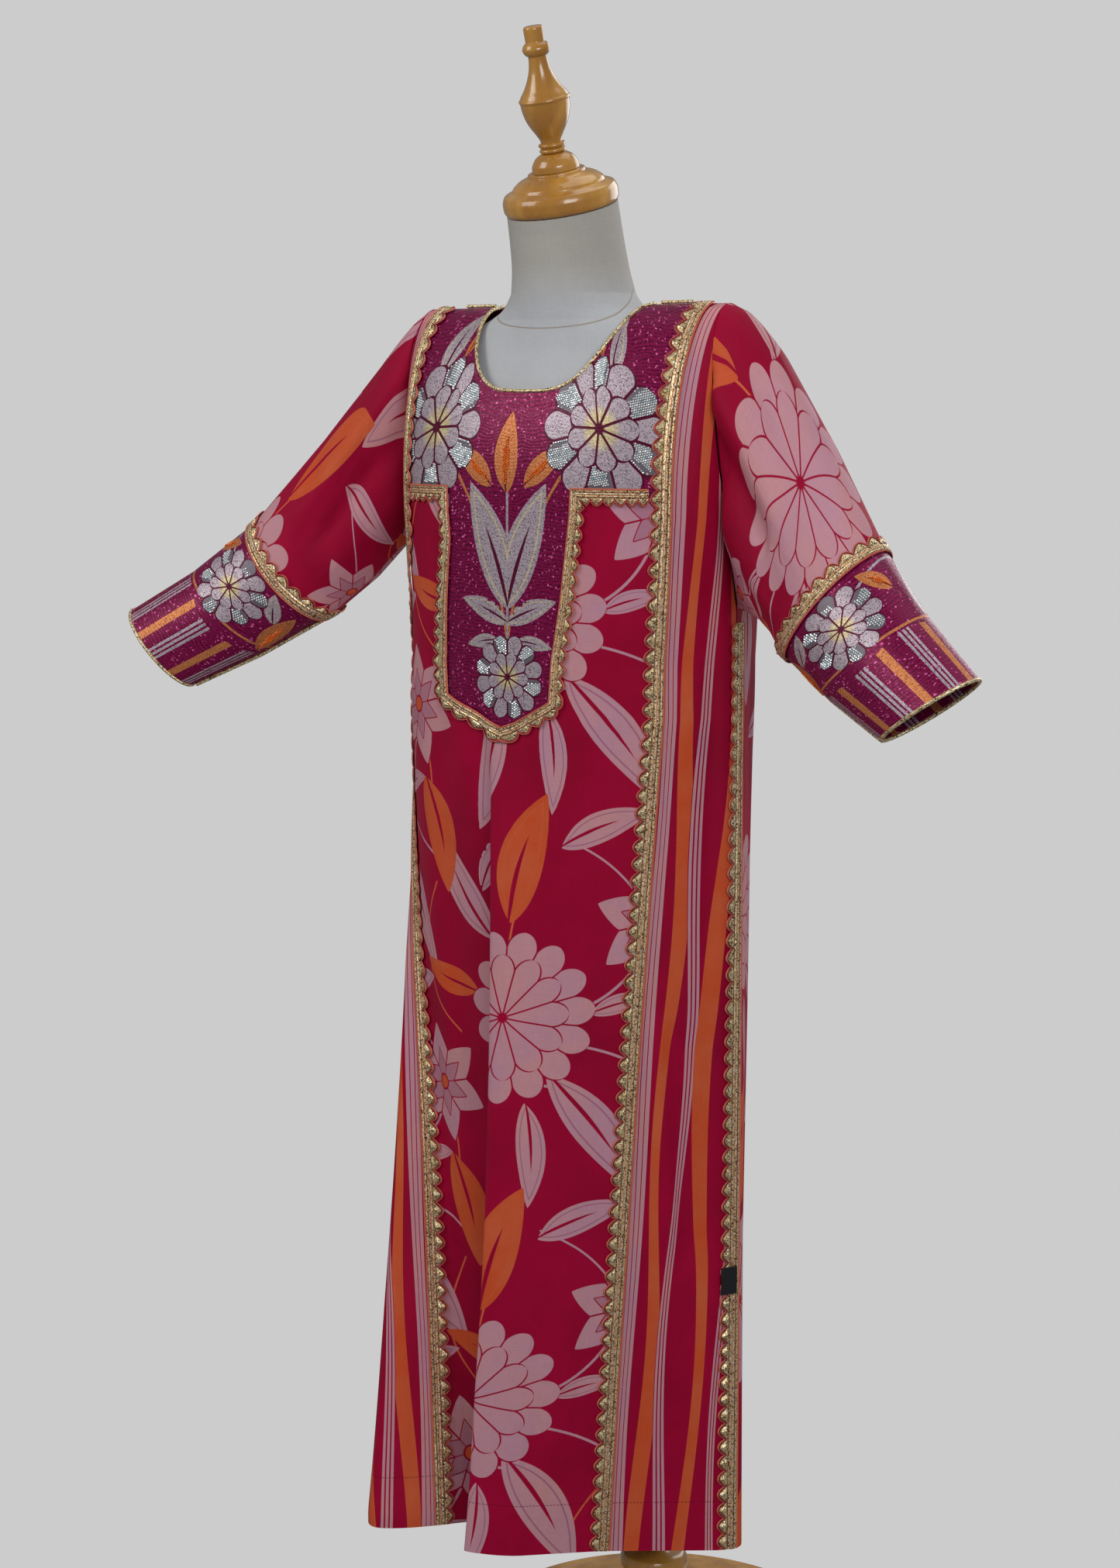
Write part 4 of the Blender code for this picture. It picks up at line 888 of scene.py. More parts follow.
necks = np.linspace(-NECK_STATION, NECK_STATION, 140)
front_line = body_point(necks, neck_edge(necks, FRONT_NECK_HEIGHT))
back_reach = np.linspace(NECK_STATION, -NECK_STATION, 140)
back_line = body_point(4.0 - back_reach, neck_edge(back_reach, BACK_NECK_HEIGHT))
front_line[:, 1] -= SHOULDER_SHIFT
back_line[:, 1] += SHOULDER_SHIFT
neck_line = np.concatenate((front_line, back_line))
toward = unit(np.array((*BODY_MIDDLE, SHOULDER_HEIGHT + 0.04)) - neck_line)
neck_cord = cord("cord_neckline", neck_line + toward * (CORD_RADIUS + 0.0002), closed=True)
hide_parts("neck_binding")
cords.append(neck_cord)
for side, word in ((1, "left"), (-1, "right")):
    x = BODY_MIDDLE[0] + np.linspace(0.086, 0.1165, 20) * side
    line = np.stack((x, 0.0 * x + BODY_MIDDLE[1], 0.0 * x + SHOULDER_HEIGHT + CORD_RADIUS + 0.0001), axis=1)
    shoulder = cord("cord_shoulder_" + word, line)
    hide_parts("shoulder_cord_" + word)
    cords.append(shoulder)
print("braids:", len(braids), "cords:", len(cords))

# %% [markdown]
# ## Label
# A short black tape is folded double and caught under the side braid. It stays bare. It
# bulges a little in the middle and its free fold lifts from the cloth.

# %% Label
LABEL_HEIGHT = 0.411
LABEL_SIZE = (0.014, 0.024)
LABEL_LIFT = 0.0027
LABEL_THICKNESS = 0.0010


def build_label():
    """Grid over the side braid: a lift that grows towards the free fold, and a soft bulge."""
    down = np.linspace(0.5, -0.5, 40)[:, None]
    across = np.linspace(-0.5, 0.5, 26)[None, :]
    heights = LABEL_HEIGHT + down * LABEL_SIZE[1] + 0.0 * across
    distance = across * LABEL_SIZE[0] - 0.002 + 0.0 * down
    near = body_point(2.0 - 0.02, heights) - body_point(2.0, heights)
    stations = 2.0 + distance / np.maximum(np.linalg.norm(near, axis=-1) / 0.02, 0.02)
    free_end = np.clip(-across * 2.0, 0.0, 1.0) ** 2 * np.cos(math.pi * down)
    rise = LABEL_LIFT + 0.0006 * np.cos(math.pi * across) + 0.0010 * free_end
    outer = cloth_point(stations, heights, rise + LABEL_THICKNESS)
    inner = cloth_point(stations, heights, rise)
    return wall("label_tape", outer, inner, {"cloth": np.stack((distance, heights), axis=-1)})


label = build_label()
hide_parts("label")

# %% [markdown]
# ## The form
# The torso is covered in linen and its sections are rounded ellipses. The neck leans
# forward to a wooden cap with a turned finial. The pole and the round base are turned
# too. A turned piece is a profile of heights and radii, made smooth between its points.

# %% Form
TORSO = np.array([
    # height, half width, half depth, middle x, middle y, squareness
    (0.656, 0.098, 0.062, -0.030, -0.062, 2.2), (0.662, 0.112, 0.074, -0.030, -0.062, 2.2),
    (0.680, 0.119, 0.0812, -0.030, -0.063, 2.2), (0.726, 0.123, 0.0835, -0.031, -0.065, 2.2),
    (0.796, 0.120, 0.0820, -0.033, -0.068, 2.2), (0.876, 0.112, 0.077, -0.035, -0.071, 2.2),
    (0.966, 0.116, 0.079, -0.037, -0.073, 2.2), (1.046, 0.124, 0.081, -0.039, -0.074, 2.2),
    (1.116, 0.130, 0.081, -0.040, -0.0745, 2.2), (1.151, 0.133, 0.077, -0.040, -0.0745, 2.2),
    (1.178, 0.133, 0.067, -0.040, -0.0755, 2.2), (1.202, 0.126, 0.0545, -0.040, -0.0775, 2.1),
    (1.218, 0.108, 0.0495, -0.040, -0.0790, 1.9), (1.228, 0.086, 0.0480, -0.040, -0.0800, 1.8),
    (1.2365, 0.068, 0.0482, -0.040, -0.0810, 1.9), (1.250, 0.0550, 0.0490, -0.040, -0.0825, 2.0),
    (1.271, 0.0505, 0.0486, -0.040, -0.0865, 2.0), (1.296, 0.0485, 0.0480, -0.040, -0.0925, 2.0),
])
NECK_TOP = Vector((-0.040, -0.099, 1.321))
NECK_TILT = math.radians(16.5)
NECK_TOP_RADIUS = 0.0472
POLE_FOOT = Vector((0.0, 0.0, 0.0413))
POLE_HEAD = Vector((-0.024, -0.050, 0.6557))
BASE_PROFILE = np.array([
    # height, radius
    (0.000, 0.000), (0.000, 0.164), (0.0012, 0.168), (0.005, 0.174), (0.011, 0.1772),
    (0.016, 0.178), (0.022, 0.1772), (0.027, 0.176), (0.0325, 0.1715), (0.0345, 0.168),
    (0.0350, 0.158), (0.0362, 0.1560), (0.0385, 0.1510), (0.0393, 0.1480), (0.0405, 0.100),
    (0.041, 0.060), (0.041, 0.000),
])
POLE_PROFILE = np.array([
    # part of the way up, radius
    (0.000, 0.000), (0.000, 0.0355), (0.006, 0.0372), (0.015, 0.038), (0.024, 0.0372),
    (0.030, 0.036), (0.034, 0.0315), (0.042, 0.029), (0.060, 0.0272), (0.085, 0.0275),
    (0.092, 0.0303), (0.100, 0.031), (0.108, 0.0303), (0.115, 0.0275), (0.119, 0.0180),
    (0.124, 0.0128), (0.500, 0.0125), (0.958, 0.0125), (0.966, 0.0205), (0.970, 0.022),
    (0.9995, 0.022), (1.000, 0.000),
])
CAP_PROFILE = np.array([
    # height along the neck's axis, radius
    (0.0000, 0.000), (0.0000, 0.0440), (0.0006, 0.0462), (0.0022, 0.0480), (0.0050, 0.0490),
    (0.0110, 0.0490), (0.0145, 0.0478), (0.0165, 0.0465), (0.0183, 0.0425), (0.0191, 0.0405),
    (0.0195, 0.0395), (0.0220, 0.0382), (0.0260, 0.0330), (0.0282, 0.0278), (0.0290, 0.0260),
    (0.0293, 0.0246), (0.0315, 0.0240), (0.0320, 0.0195), (0.0320, 0.000),
])
FINIAL_PROFILE = np.array([
    # height along the neck's axis, radius
    (0.0323, 0.000), (0.0323, 0.0200), (0.0350, 0.0199), (0.0380, 0.0193), (0.0430, 0.0160),
    (0.0460, 0.0115), (0.0465, 0.0088), (0.0478, 0.0108), (0.0490, 0.0112), (0.0502, 0.0106),
    (0.0510, 0.0092), (0.0523, 0.0110), (0.0535, 0.0114), (0.0547, 0.0108), (0.0555, 0.0088),
    (0.0590, 0.0098), (0.0640, 0.0125), (0.0700, 0.0160), (0.0760, 0.0185), (0.0810, 0.0198),
    (0.0850, 0.0205), (0.0890, 0.0208), (0.0900, 0.0213), (0.0910, 0.0217), (0.0922, 0.0213),
    (0.0930, 0.0206), (0.0960, 0.0188), (0.1000, 0.0160), (0.1050, 0.0132), (0.1095, 0.0112),
    (0.1150, 0.0093), (0.1210, 0.0082), (0.1262, 0.0079), (0.1272, 0.0093), (0.1290, 0.0107),
    (0.1320, 0.0118), (0.1350, 0.0107), (0.1368, 0.0092), (0.1376, 0.0081), (0.1480, 0.0083),
    (0.1497, 0.0078), (0.1505, 0.0066), (0.1507, 0.000),
])


def soften(profile, steps=5):
    """Points along a profile on a curve through its points, each stretch leaning on its two
    neighbours. A stretch next to a sharp corner stays straight."""
    before = np.concatenate((profile[:1], profile[:-1]))
    after = np.concatenate((profile[1:], profile[-1:]))
    tangent = (after - before) * 0.5
    one = profile - before
    two = after - profile
    lengths = np.linalg.norm(one, axis=1) * np.linalg.norm(two, axis=1)
    bend = np.sum(one * two, axis=1) / np.maximum(lengths, 1e-12)
    tangent *= np.where(bend > 0.35, 1.0, 0.0)[:, None]
    reach = np.minimum(np.linalg.norm(one, axis=1), np.linalg.norm(two, axis=1))
    size = np.maximum(np.linalg.norm(tangent, axis=1), 1e-12)
    tangent *= np.minimum(1.0, reach / size)[:, None]
    part = np.linspace(0.0, 1.0, steps, endpoint=False)[:, None]
    runs = []
    for start, end, leave, arrive in zip(profile, profile[1:], tangent, tangent[1:]):
        square, cube = part ** 2, part ** 3
        runs.append(start * (2 * cube - 3 * square + 1) + leave * (cube - 2 * square + part)
                    + end * (3 * square - 2 * cube) + arrive * (cube - square))
    return np.concatenate(runs + [profile[-1:]])


def placed(points, place):
    """Points moved by a matrix."""
    matrix = np.array(place)
    return points.reshape(-1, 3) @ matrix[:3, :3].T + matrix[:3, 3]


def turned(name, node, profile, place, sides=96):
    """A profile carried round an axis. Its two ends lie on the axis, so the piece is closed."""
    smooth = soften(profile)[1:-1]
    height, radius = smooth[:, :1], smooth[:, 1:]
    turn = np.linspace(0.0, 2.0 * math.pi, sides, endpoint=False)
    grid = np.stack((radius * np.cos(turn), radius * np.sin(turn), height + 0.0 * turn), axis=-1)
    uv = np.stack((turn * 0.02 + 0.0 * height, height + 0.0 * turn), axis=-1).reshape(-1, 2)
    faces = tube_faces(len(smooth), sides)
    made = make_object(name, placed(grid, place), faces, {"turned": uv}, sharp=38.0)
    face_out(made)
    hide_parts(node)
    return made


lean = POLE_HEAD - POLE_FOOT
pole_place = Matrix(((1.0, 0.0, lean.x / lean.z, POLE_FOOT.x), (0.0, 1.0, lean.y / lean.z, POLE_FOOT.y),
                     (0.0, 0.0, 1.0, POLE_FOOT.z), (0.0, 0.0, 0.0, 1.0)))
neck_place = Matrix.Translation(NECK_TOP) @ Matrix.Rotation(NECK_TILT, 4, "X")
wooden = [
    turned("wooden_base", "base", BASE_PROFILE, Matrix.Identity(4)),
    turned("wooden_pole", "pole", POLE_PROFILE * (lean.z, 1.0), pole_place, 72),
    turned("wooden_cap", "neck_cap", CAP_PROFILE, neck_place, 80),
    turned("wooden_finial", "finial", FINIAL_PROFILE, neck_place, 64),
]


def build_torso():
    """Torso through rounded ellipses, evenly divided in height by a curve through the table's
    rows, and closed at the bottom and under the wooden cap."""
    rows = soften(TORSO, 8)
    turn = np.linspace(0.0, 2.0 * math.pi, 144, endpoint=False)[None, :]
    height, half_width, half_depth, middle_x, middle_y, square = np.split(rows, 6, axis=1)
    power = 2.0 / square
    x = middle_x + half_width * np.sign(np.cos(turn)) * np.abs(np.cos(turn)) ** power
    y = middle_y + half_depth * np.sign(np.sin(turn)) * np.abs(np.sin(turn)) ** power
    grid = np.stack((x, y, height + 0.0 * turn), axis=-1)
    rim = np.stack((NECK_TOP_RADIUS * np.cos(turn[0]), NECK_TOP_RADIUS * np.sin(turn[0]),
                    np.full(turn.shape[1], -0.0003)), axis=-1)
    steps = np.linspace(0.0, 1.0, 9)[1:, None, None]
    grid = np.concatenate((grid, grid[-1] + (placed(rim, neck_place) - grid[-1]) * steps))
    made = make_object("linen_torso", grid.reshape(-1, 3), tube_faces(*grid.shape[:2]))
    face_out(made)
    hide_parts("torso")
    return made


torso = build_torso()
print("form:", torso.name, [piece.name for piece in wooden])



# %% [markdown]
# ## Tools for materials
# A material is a tree of nodes. A Value is what one node puts out, and sums are written
# with it as with numbers: each sign adds one Math node, so a formula reads as on paper.
# The words larger, smaller, sine, cosine and root each add one too.

# %% Values
def feed(socket, value):
    """Set a socket to a number or colour, or link a Value to it."""
    if isinstance(value, Value):
        socket.id_data.links.new(value.socket, socket)
    elif socket.type == "RGBA" and len(value) == 3:
        socket.default_value = (*value, 1.0)
    else:
        socket.default_value = value


def new_node(kind, values):
    """A node in the tree of the first of the values that comes from a node."""
    tree = next(value.socket.id_data for value in values if isinstance(value, Value))
    return tree.nodes.new("ShaderNode" + kind)


def calc(operation, *values):
    """One Math node."""
    node = new_node("Math", values)
    node.operation = operation
    for socket, value in zip(node.inputs, values):
        feed(socket, value)
    return Value(node.outputs[0])


def sign(operation):
    """What Python calls for a sign with a Value on its left, and with one only on its right."""
    return (lambda one, other: calc(operation, one, other),
            lambda one, other: calc(operation, other, one))


class Value:
    """The output socket of a node."""
    __add__, __radd__ = sign("ADD")
    __sub__, __rsub__ = sign("SUBTRACT")
    __mul__, __rmul__ = sign("MULTIPLY")
    __truediv__, __rtruediv__ = sign("DIVIDE")
    __lt__, _ = sign("LESS_THAN")
    __gt__, _ = sign("GREATER_THAN")

    def __init__(self, socket):
        self.socket = socket

    def __abs__(self):
        return calc("ABSOLUTE", self)


def limited(value):
    """The same sum, kept between 0 and 1 by its own node."""
    value.socket.node.use_clamp = True
    return value


def larger(one, other):
    return calc("MAXIMUM", one, other)


def smaller(one, other):
    return calc("MINIMUM", one, other)


def sine(value):
    return calc("SINE", value)


def cosine(value):
    return calc("COSINE", value)


def root(value):
    return calc("SQRT", value)


# %% Node helpers
def vector_calc(operation, *values):
    """One Vector Math node."""
    node = new_node("VectorMath", values)
    node.operation = operation
    sockets = (node.inputs[0], node.inputs["Scale"] if operation == "SCALE" else node.inputs[1])
    for socket, value in zip(sockets, values):
        feed(socket, value)
    return Value(node.outputs["Vector"])


def split(vector):
    """The three numbers of a vector."""
    node = new_node("SeparateXYZ", (vector,))
    feed(node.inputs[0], vector)
    return [Value(socket) for socket in node.outputs]


def join(x, y, z=0.0):
    """A vector of three numbers."""
    node = new_node("CombineXYZ", (x, y, z))
    for socket, value in zip(node.inputs, (x, y, z)):
        feed(socket, value)
    return Value(node.outputs[0])


def blend(share, first, second, mode="MIX"):
    """Mix two colours: the second shows where the share is 1."""
    node = new_node("Mix", (share, first, second))
    node.data_type = "RGBA"
    node.blend_type = mode
    for index, value in zip((0, 6, 7), (share, first, second)):
        feed(node.inputs[index], value)
    return Value(node.outputs[2])


def blend_value(share, first, second):
    """Mix two numbers: the second counts where the share is 1."""
    node = new_node("Mix", (share, first, second))
    node.data_type = "FLOAT"
    for index, value in zip((0, 2, 3), (share, first, second)):
        feed(node.inputs[index], value)
    return Value(node.outputs[0])


def ramp(value, low, high, start=0.0, end=1.0):
    """Stretch a value from low to high onto start to end, and clamp it."""
    node = new_node("MapRange", (value,))
    for index, number in enumerate((value, low, high, start, end)):
        feed(node.inputs[index], number)
    return Value(node.outputs[0])


def noise(vector, scale, detail=2.0, rough=0.5):
    """A cloudy value that changes over the scale given in turns per metre."""
    node = new_node("TexNoise", (vector,))
    chosen = {"Vector": vector, "Scale": scale, "Detail": detail, "Roughness": rough}
    for title, value in chosen.items():
        feed(node.inputs[title], value)
    return Value(node.outputs["Fac"])


def cells(vector, scale):
    """Three random numbers for each cell of a pattern of small cells."""
    node = new_node("TexVoronoi", (vector,))
    feed(node.inputs["Vector"], vector)
    feed(node.inputs["Scale"], scale)
    return split(Value(node.outputs["Color"]))


def attribute(tree, title, output="Vector"):
    """A value that the mesh holds under a name."""
    node = tree.nodes.new("ShaderNodeAttribute")
    node.attribute_name = title
    return Value(node.outputs[output])


def uv_of(tree, title):
    """The piece's flat coordinates of that name."""
    node = tree.nodes.new("ShaderNodeUVMap")
    node.uv_map = title
    return Value(node.outputs[0])


def object_place(tree):
    """The place in the room, which is the object's own, as every piece sits at the origin."""
    return Value(tree.nodes.new("ShaderNodeTexCoord").outputs["Object"])


def bump(height, strength, distance, normal=None):
    """Normals that a height would give: its strength, and how many metres one unit of it is."""
    node = new_node("Bump", (height,))
    for title, value in (("Height", height), ("Strength", strength), ("Distance", distance)):
        feed(node.inputs[title], value)
    if normal is not None:
        feed(node.inputs["Normal"], normal)
    return Value(node.outputs[0])


def new_group(name, **inputs):
    """An empty node group with named inputs: a vector where None stands, or else a number."""
    tree = bpy.data.node_groups.new(name, "ShaderNodeTree")
    for title, number in inputs.items():
        kind = "NodeSocketVector" if number is None else "NodeSocketFloat"
        title = title.replace("_", " ")
        made = tree.interface.new_socket(name=title, in_out="INPUT", socket_type=kind)
        if number is not None:
            made.default_value = number
    return tree, {socket.name: Value(socket) for socket in tree.nodes.new("NodeGroupInput").outputs}


def put_out(tree, **results):
    """Give a group its named outputs. Here too, underscores stand for spaces."""
    for title in results:
        title = title.replace("_", " ")
        tree.interface.new_socket(name=title, in_out="OUTPUT", socket_type="NodeSocketFloat")
    for socket, value in zip(tree.nodes.new("NodeGroupOutput").inputs, results.values()):
        feed(socket, value)
    return tree


def use_group(group, **values):
    """Place a group in a material. A name's underscores stand for spaces."""
    node = new_node("Group", values.values())
    node.node_tree = group
    for title, value in values.items():
        feed(node.inputs[title.replace("_", " ")], value)
    return {socket.name: Value(socket) for socket in node.outputs}


def new_material(name, rough, metallic=0.0, sheen=0.0, coat=0.0, specular=0.5):
    """A Principled material whose steady numbers are set on the shader's own sockets."""
    made = bpy.data.materials.new(name)
    made.use_nodes = True
    shader = made.node_tree.nodes["Principled BSDF"].inputs
    steady = {"Roughness": rough, "Metallic": metallic, "Sheen Weight": sheen, "Sheen Roughness": 0.45,
              "Coat Weight": coat, "Specular IOR Level": specular}
    for title, number in steady.items():
        shader[title].default_value = number
    return made, made.node_tree, shader


# %% [markdown]
# ## Shared patterns
# Flowers, leaves, stripes, weave and thread are node groups. A flower reads coordinates
# whose middle is its own middle and whose radius is 1, stored on the mesh for the
# nearest flower. So one formula draws each flower sharply, wherever it lies.

# %% Petals
def make_petal_group():
    """One tier of a flower.

    The angle round the middle is cut in equal petals. Within one, its half width
    grows evenly out to Reach and is rounded off over Tip. The edge distance is
    that half width less the distance from the petal's own middle line.
    """
    tree, given = new_group("petal_tier", Local=None, Petals=11.0, Turn=0.0, Reach=0.8, Tip=0.2,
                            Point=0.0, Line_Width=0.012)
    x, y, _ = split(given["Local"])
    radius = root(x * x + y * y)
    angle = calc("ARCTAN2", y, x) + given["Turn"]
    share = angle * (given["Petals"] / (2.0 * math.pi)) + 40.0
    which = calc("FLOOR", share)
    part = share - which - 0.5
    inner = part * (2.0 * math.pi / given["Petals"])
    along = radius * cosine(inner)
    aside = radius * abs(sine(inner))
    widest = given["Reach"] * calc("TANGENT", math.pi / given["Petals"])
    grown = along / given["Reach"]
    beyond = limited((along - given["Reach"]) / given["Tip"])
    rounded = root(1.0 - beyond * beyond)
    pointed = 1.0 - calc("POWER", beyond, 1.25)
    shape = blend_value(given["Point"], rounded, pointed)
    width = widest * smaller(smaller(grown, 1.0), shape)
    edge = width - aside
    ends = beyond < 0.999
    inside = limited(edge / 0.01 + 0.5)
    thin = (given["Line Width"] - abs(edge)) / 0.008
    line = limited(thin + 0.5) * ends
    return put_out(tree, Inside=inside * ends, Line=line, Along=along, Which=which)


petal_tier = make_petal_group()


# %% Leaf
def make_leaf_group():
    """A bent lens with pointed ends, a slit from its foot and a line inside its edge.

    The half width is 1 less the square of the place along, and the middle line
    bends as that same curve.
    """
    tree, given = new_group("leaf_shape", Local=None, Bend=0.35)
    x, y, _ = split(given["Local"])
    lens = 1.0 - x * x
    bent = y - given["Bend"] * lens
    fuller = calc("POWER", larger(lens, 0.0), 0.82) * (1.0 - x * 0.22)
    edge = fuller - abs(bent)
    inside = limited((edge - 0.02) / 0.03 + 0.5)
    reach = (x + 0.42) / 0.8
    slim = 0.12 * (1.0 - reach * reach)
    off_middle = abs(bent + x * 0.1)
    slit = limited((slim - off_middle) / 0.03)
    inner_line = limited((0.055 - abs(edge - 0.3)) / 0.03)
    return put_out(tree, Inside=inside, Slit=slit, Inner_Line=inner_line)


leaf_shape = make_leaf_group()


# %% Weave, thread and flecks
def make_weave_group():
    """Plain weave: threads over and under as the product of two sines, with uneven slubs."""
    tree, given = new_group("plain_weave", Flat=None, Pitch=0.0007)
    x, y, _ = split(given["Flat"])
    turn = math.pi / given["Pitch"]
    over = sine(x * turn) * sine(y * turn)
    slub_x = noise(vector_calc("MULTIPLY", given["Flat"], (60.0, 1400.0, 60.0)), 1.0)
    slub_y = noise(vector_calc("MULTIPLY", given["Flat"], (1400.0, 60.0, 60.0)), 1.0)
    slub = (slub_x + slub_y) * 0.5
    return put_out(tree, Height=over * 0.5 + slub, Shade=(slub - 0.5) * 1.4 + 0.5)


plain_weave = make_weave_group()


def make_thread_group():
    """Rows of stitched metal thread: fine streaks across a direction, with dark and bright flecks."""
    tree, given = new_group("stitched_thread", Flat=None, Turn=0.0)
    rotate = tree.nodes.new("ShaderNodeVectorRotate")
    rotate.rotation_type = "Z_AXIS"
    feed(rotate.inputs["Vector"], given["Flat"])
    feed(rotate.inputs["Angle"], given["Turn"])
    turned_flat = Value(rotate.outputs[0])
    streak = noise(vector_calc("MULTIPLY", turned_flat, (2200.0, 420.0, 300.0)), 1.0, 2.0, 0.6)
    fleck, _, _ = cells(given["Flat"], 1500.0)
    return put_out(tree, Height=streak + fleck * 0.4, Shade=streak, Fleck=fleck)


stitched_thread = make_thread_group()


def make_stripe_group():
    """A stripe whose middle sways as a sine of the height and whose width swells as another."""
    tree, given = new_group("wavy_stripe", Distance=0.0, Height=0.0, Middle=0.03, Sway=0.002,
                            Sway_Turn=12.0, Phase=0.0, Half_Width=0.005, Swell=0.2)
    wave = sine(given["Height"] * given["Sway Turn"] + given["Phase"])
    middle = given["Middle"] + given["Sway"] * wave
    second = sine(given["Height"] * (given["Sway Turn"] * 0.73) + given["Phase"] * 2.1)
    half = given["Half Width"] * (1.0 + given["Swell"] * second)
    place = (given["Distance"] - middle) / half
    gap = (1.0 - abs(place)) * (half / 0.0004)
    return put_out(tree, Inside=limited(gap + 0.5), Place=place)


wavy_stripe = make_stripe_group()

# %% [markdown]
# ## Laying out the print
# The cloth is printed in a half-drop repeat of this part's own design: a round rosette,
# a six-petalled flower, pale and orange leaves and thin stalks. A table gives one
# repeat, and each panel takes its piece of the endless cloth. Each face of a panel's mesh
# stores the frame of its nearest motif.

# %% Repeat
REPEAT = (0.26, 0.34)
BLOOMS = np.array([
    # u, v, radius, radius across, turn in degrees, kind: 0 rosette, 1 six petals
    (0.000, 0.000, 0.084, 0.074, 20.0, 0.0),
    (0.128, 0.088, 0.053, 0.050, 72.0, 1.0),
])
LEAVES = np.array([
    # u, v, half length, half width, turn in degrees, kind: 0 pale, 1 orange
    (0.088, -0.100, 0.070, 0.0190, -50.0, 0.0),
    (-0.040, -0.128, 0.060, 0.0175, 252.0, 0.0),
    (0.030, -0.118, 0.046, 0.0130, -84.0, 0.0),
    (-0.084, 0.106, 0.060, 0.0180, 128.0, 0.0),
    (0.016, 0.138, 0.058, 0.0215, 76.0, 1.0),
    (0.142, -0.026, 0.052, 0.0195, -78.0, 1.0),
    (0.084, 0.166, 0.042, 0.0130, 24.0, 0.0),
    (-0.112, 0.020, 0.038, 0.0130, 166.0, 1.0),
    (0.106, 0.016, 0.028, 0.0085, 16.0, 0.0),
    (-0.044, 0.130, 0.034, 0.0105, 60.0, 0.0),
])
STALKS = np.array([
    # start u, start v, bend u, bend v, end u, end v, half width, kind: 0 pale, 1 orange
    (0.000, 0.000, 0.030, -0.060, 0.046, -0.056, 0.0012, 0.0),
    (0.000, 0.000, 0.110, 0.000, 0.128, 0.088, 0.0012, 0.0),
    (0.128, 0.088, 0.152, 0.030, 0.134, -0.010, 0.0010, 1.0),
    (0.134, -0.076, 0.090, -0.150, 0.150, -0.196, 0.0009, 1.0),
    (0.000, 0.000, 0.000, 0.080, 0.008, 0.094, 0.0010, 1.0),
    (-0.046, 0.062, -0.120, 0.140, -0.186, 0.150, 0.0011, 0.0),
    (0.128, 0.088, 0.100, 0.140, 0.056, 0.154, 0.0009, 0.0),
])


def repeated(table, low, high, offset, points=1):
    """Copies of a table's rows over a stretch of cloth, every second column of them half a repeat lower."""
    rows = []
    first = np.floor((low - offset) / REPEAT).astype(int) - 1
    last = np.ceil((high - offset) / REPEAT).astype(int) + 2
    for column in range(first[0], last[0]):
        for row in range(first[1], last[1]):
            moved = table.copy()
            for pair in range(points):
                moved[:, 2 * pair] += offset[0] + column * REPEAT[0]
                moved[:, 2 * pair + 1] += offset[1] + (row + 0.5 * (column % 2)) * REPEAT[1]
            rows.append(moved)
    return np.concatenate(rows)


def into_motif(flat, motif):
    """Coordinates in a motif's own frame: moved to its middle, turned and divided by its sizes."""
    turn = np.radians(motif[..., 4])
    u, v = flat[..., 0] - motif[..., 0], flat[..., 1] - motif[..., 1]
    x = (u * np.cos(turn) + v * np.sin(turn)) / motif[..., 2]
    y = (v * np.cos(turn) - u * np.sin(turn)) / motif[..., 3]
    return np.stack((x, y), axis=-1)


def store_motifs(piece, title, motifs, reach):
    """Give each face the frame of its nearest motif, as a vector at its corners: x, y and the kind."""
    flat, owner, middle = face_corners(piece.data)
    size = np.linalg.norm(into_motif(middle[:, None, :], motifs[None, :, :]), axis=-1)
    nearest = np.argmin(size, axis=1)
    far = size[np.arange(len(size)), nearest] > reach
    chosen = motifs[nearest[owner]]
    local = into_motif(flat, chosen)
    local[far[owner]] = 9.0
    vector = np.concatenate((local, chosen[:, 5:6]), axis=1)
    made = piece.data.attributes.new(title, "FLOAT_VECTOR", "CORNER")
    made.data.foreach_set("vector", vector.astype(np.float32).ravel())


def store_stalks(piece, stalks):
    """Distance to the nearest stalk of each kind, in half widths of that stalk.

    A stalk is a curve cut in short straight runs. Each face takes its nearest
    run, and its corners hold the distance to one side of that run's line, so the
    value falls evenly through zero across the stalk.
    """
    flat, owner, middle = face_corners(piece.data)
    part = np.linspace(0.0, 1.0, 24)[:, None]
    result = np.full((len(flat), 3), 9.0)
    for kind in (0, 1):
        nearest = np.full(len(middle), 0.008)
        line_of = np.zeros((len(middle), 5))
        for row in stalks[stalks[:, 7] == kind]:
            start, bend, end, half = row[0:2], row[2:4], row[4:6], row[6]
            line = (1 - part) ** 2 * start + 2 * part * (1 - part) * bend + part ** 2 * end
            around = (middle > line.min(axis=0) - 0.01) & (middle < line.max(axis=0) + 0.01)
            near = np.flatnonzero(around.all(axis=1))
            for one, two in zip(line, line[1:]):
                span = two - one
                along = np.clip((middle[near] - one) @ span / (span @ span), 0.0, 1.0)
                gap = np.linalg.norm(middle[near] - one - along[:, None] * span, axis=1)
                closer = near[gap < nearest[near]]
                nearest[closer] = gap[gap < nearest[near]]
                line_of[closer] = (*one, *(span / np.linalg.norm(span)), half)
        line = line_of[owner]
        found = line[:, 4] > 0.0
        aside = (flat[:, 0] - line[:, 0]) * line[:, 3] - (flat[:, 1] - line[:, 1]) * line[:, 2]
        result[found, kind] = aside[found] / line[found, 4]
    made = piece.data.attributes.new("stalk", "FLOAT_VECTOR", "CORNER")
    made.data.foreach_set("vector", result.astype(np.float32).ravel())


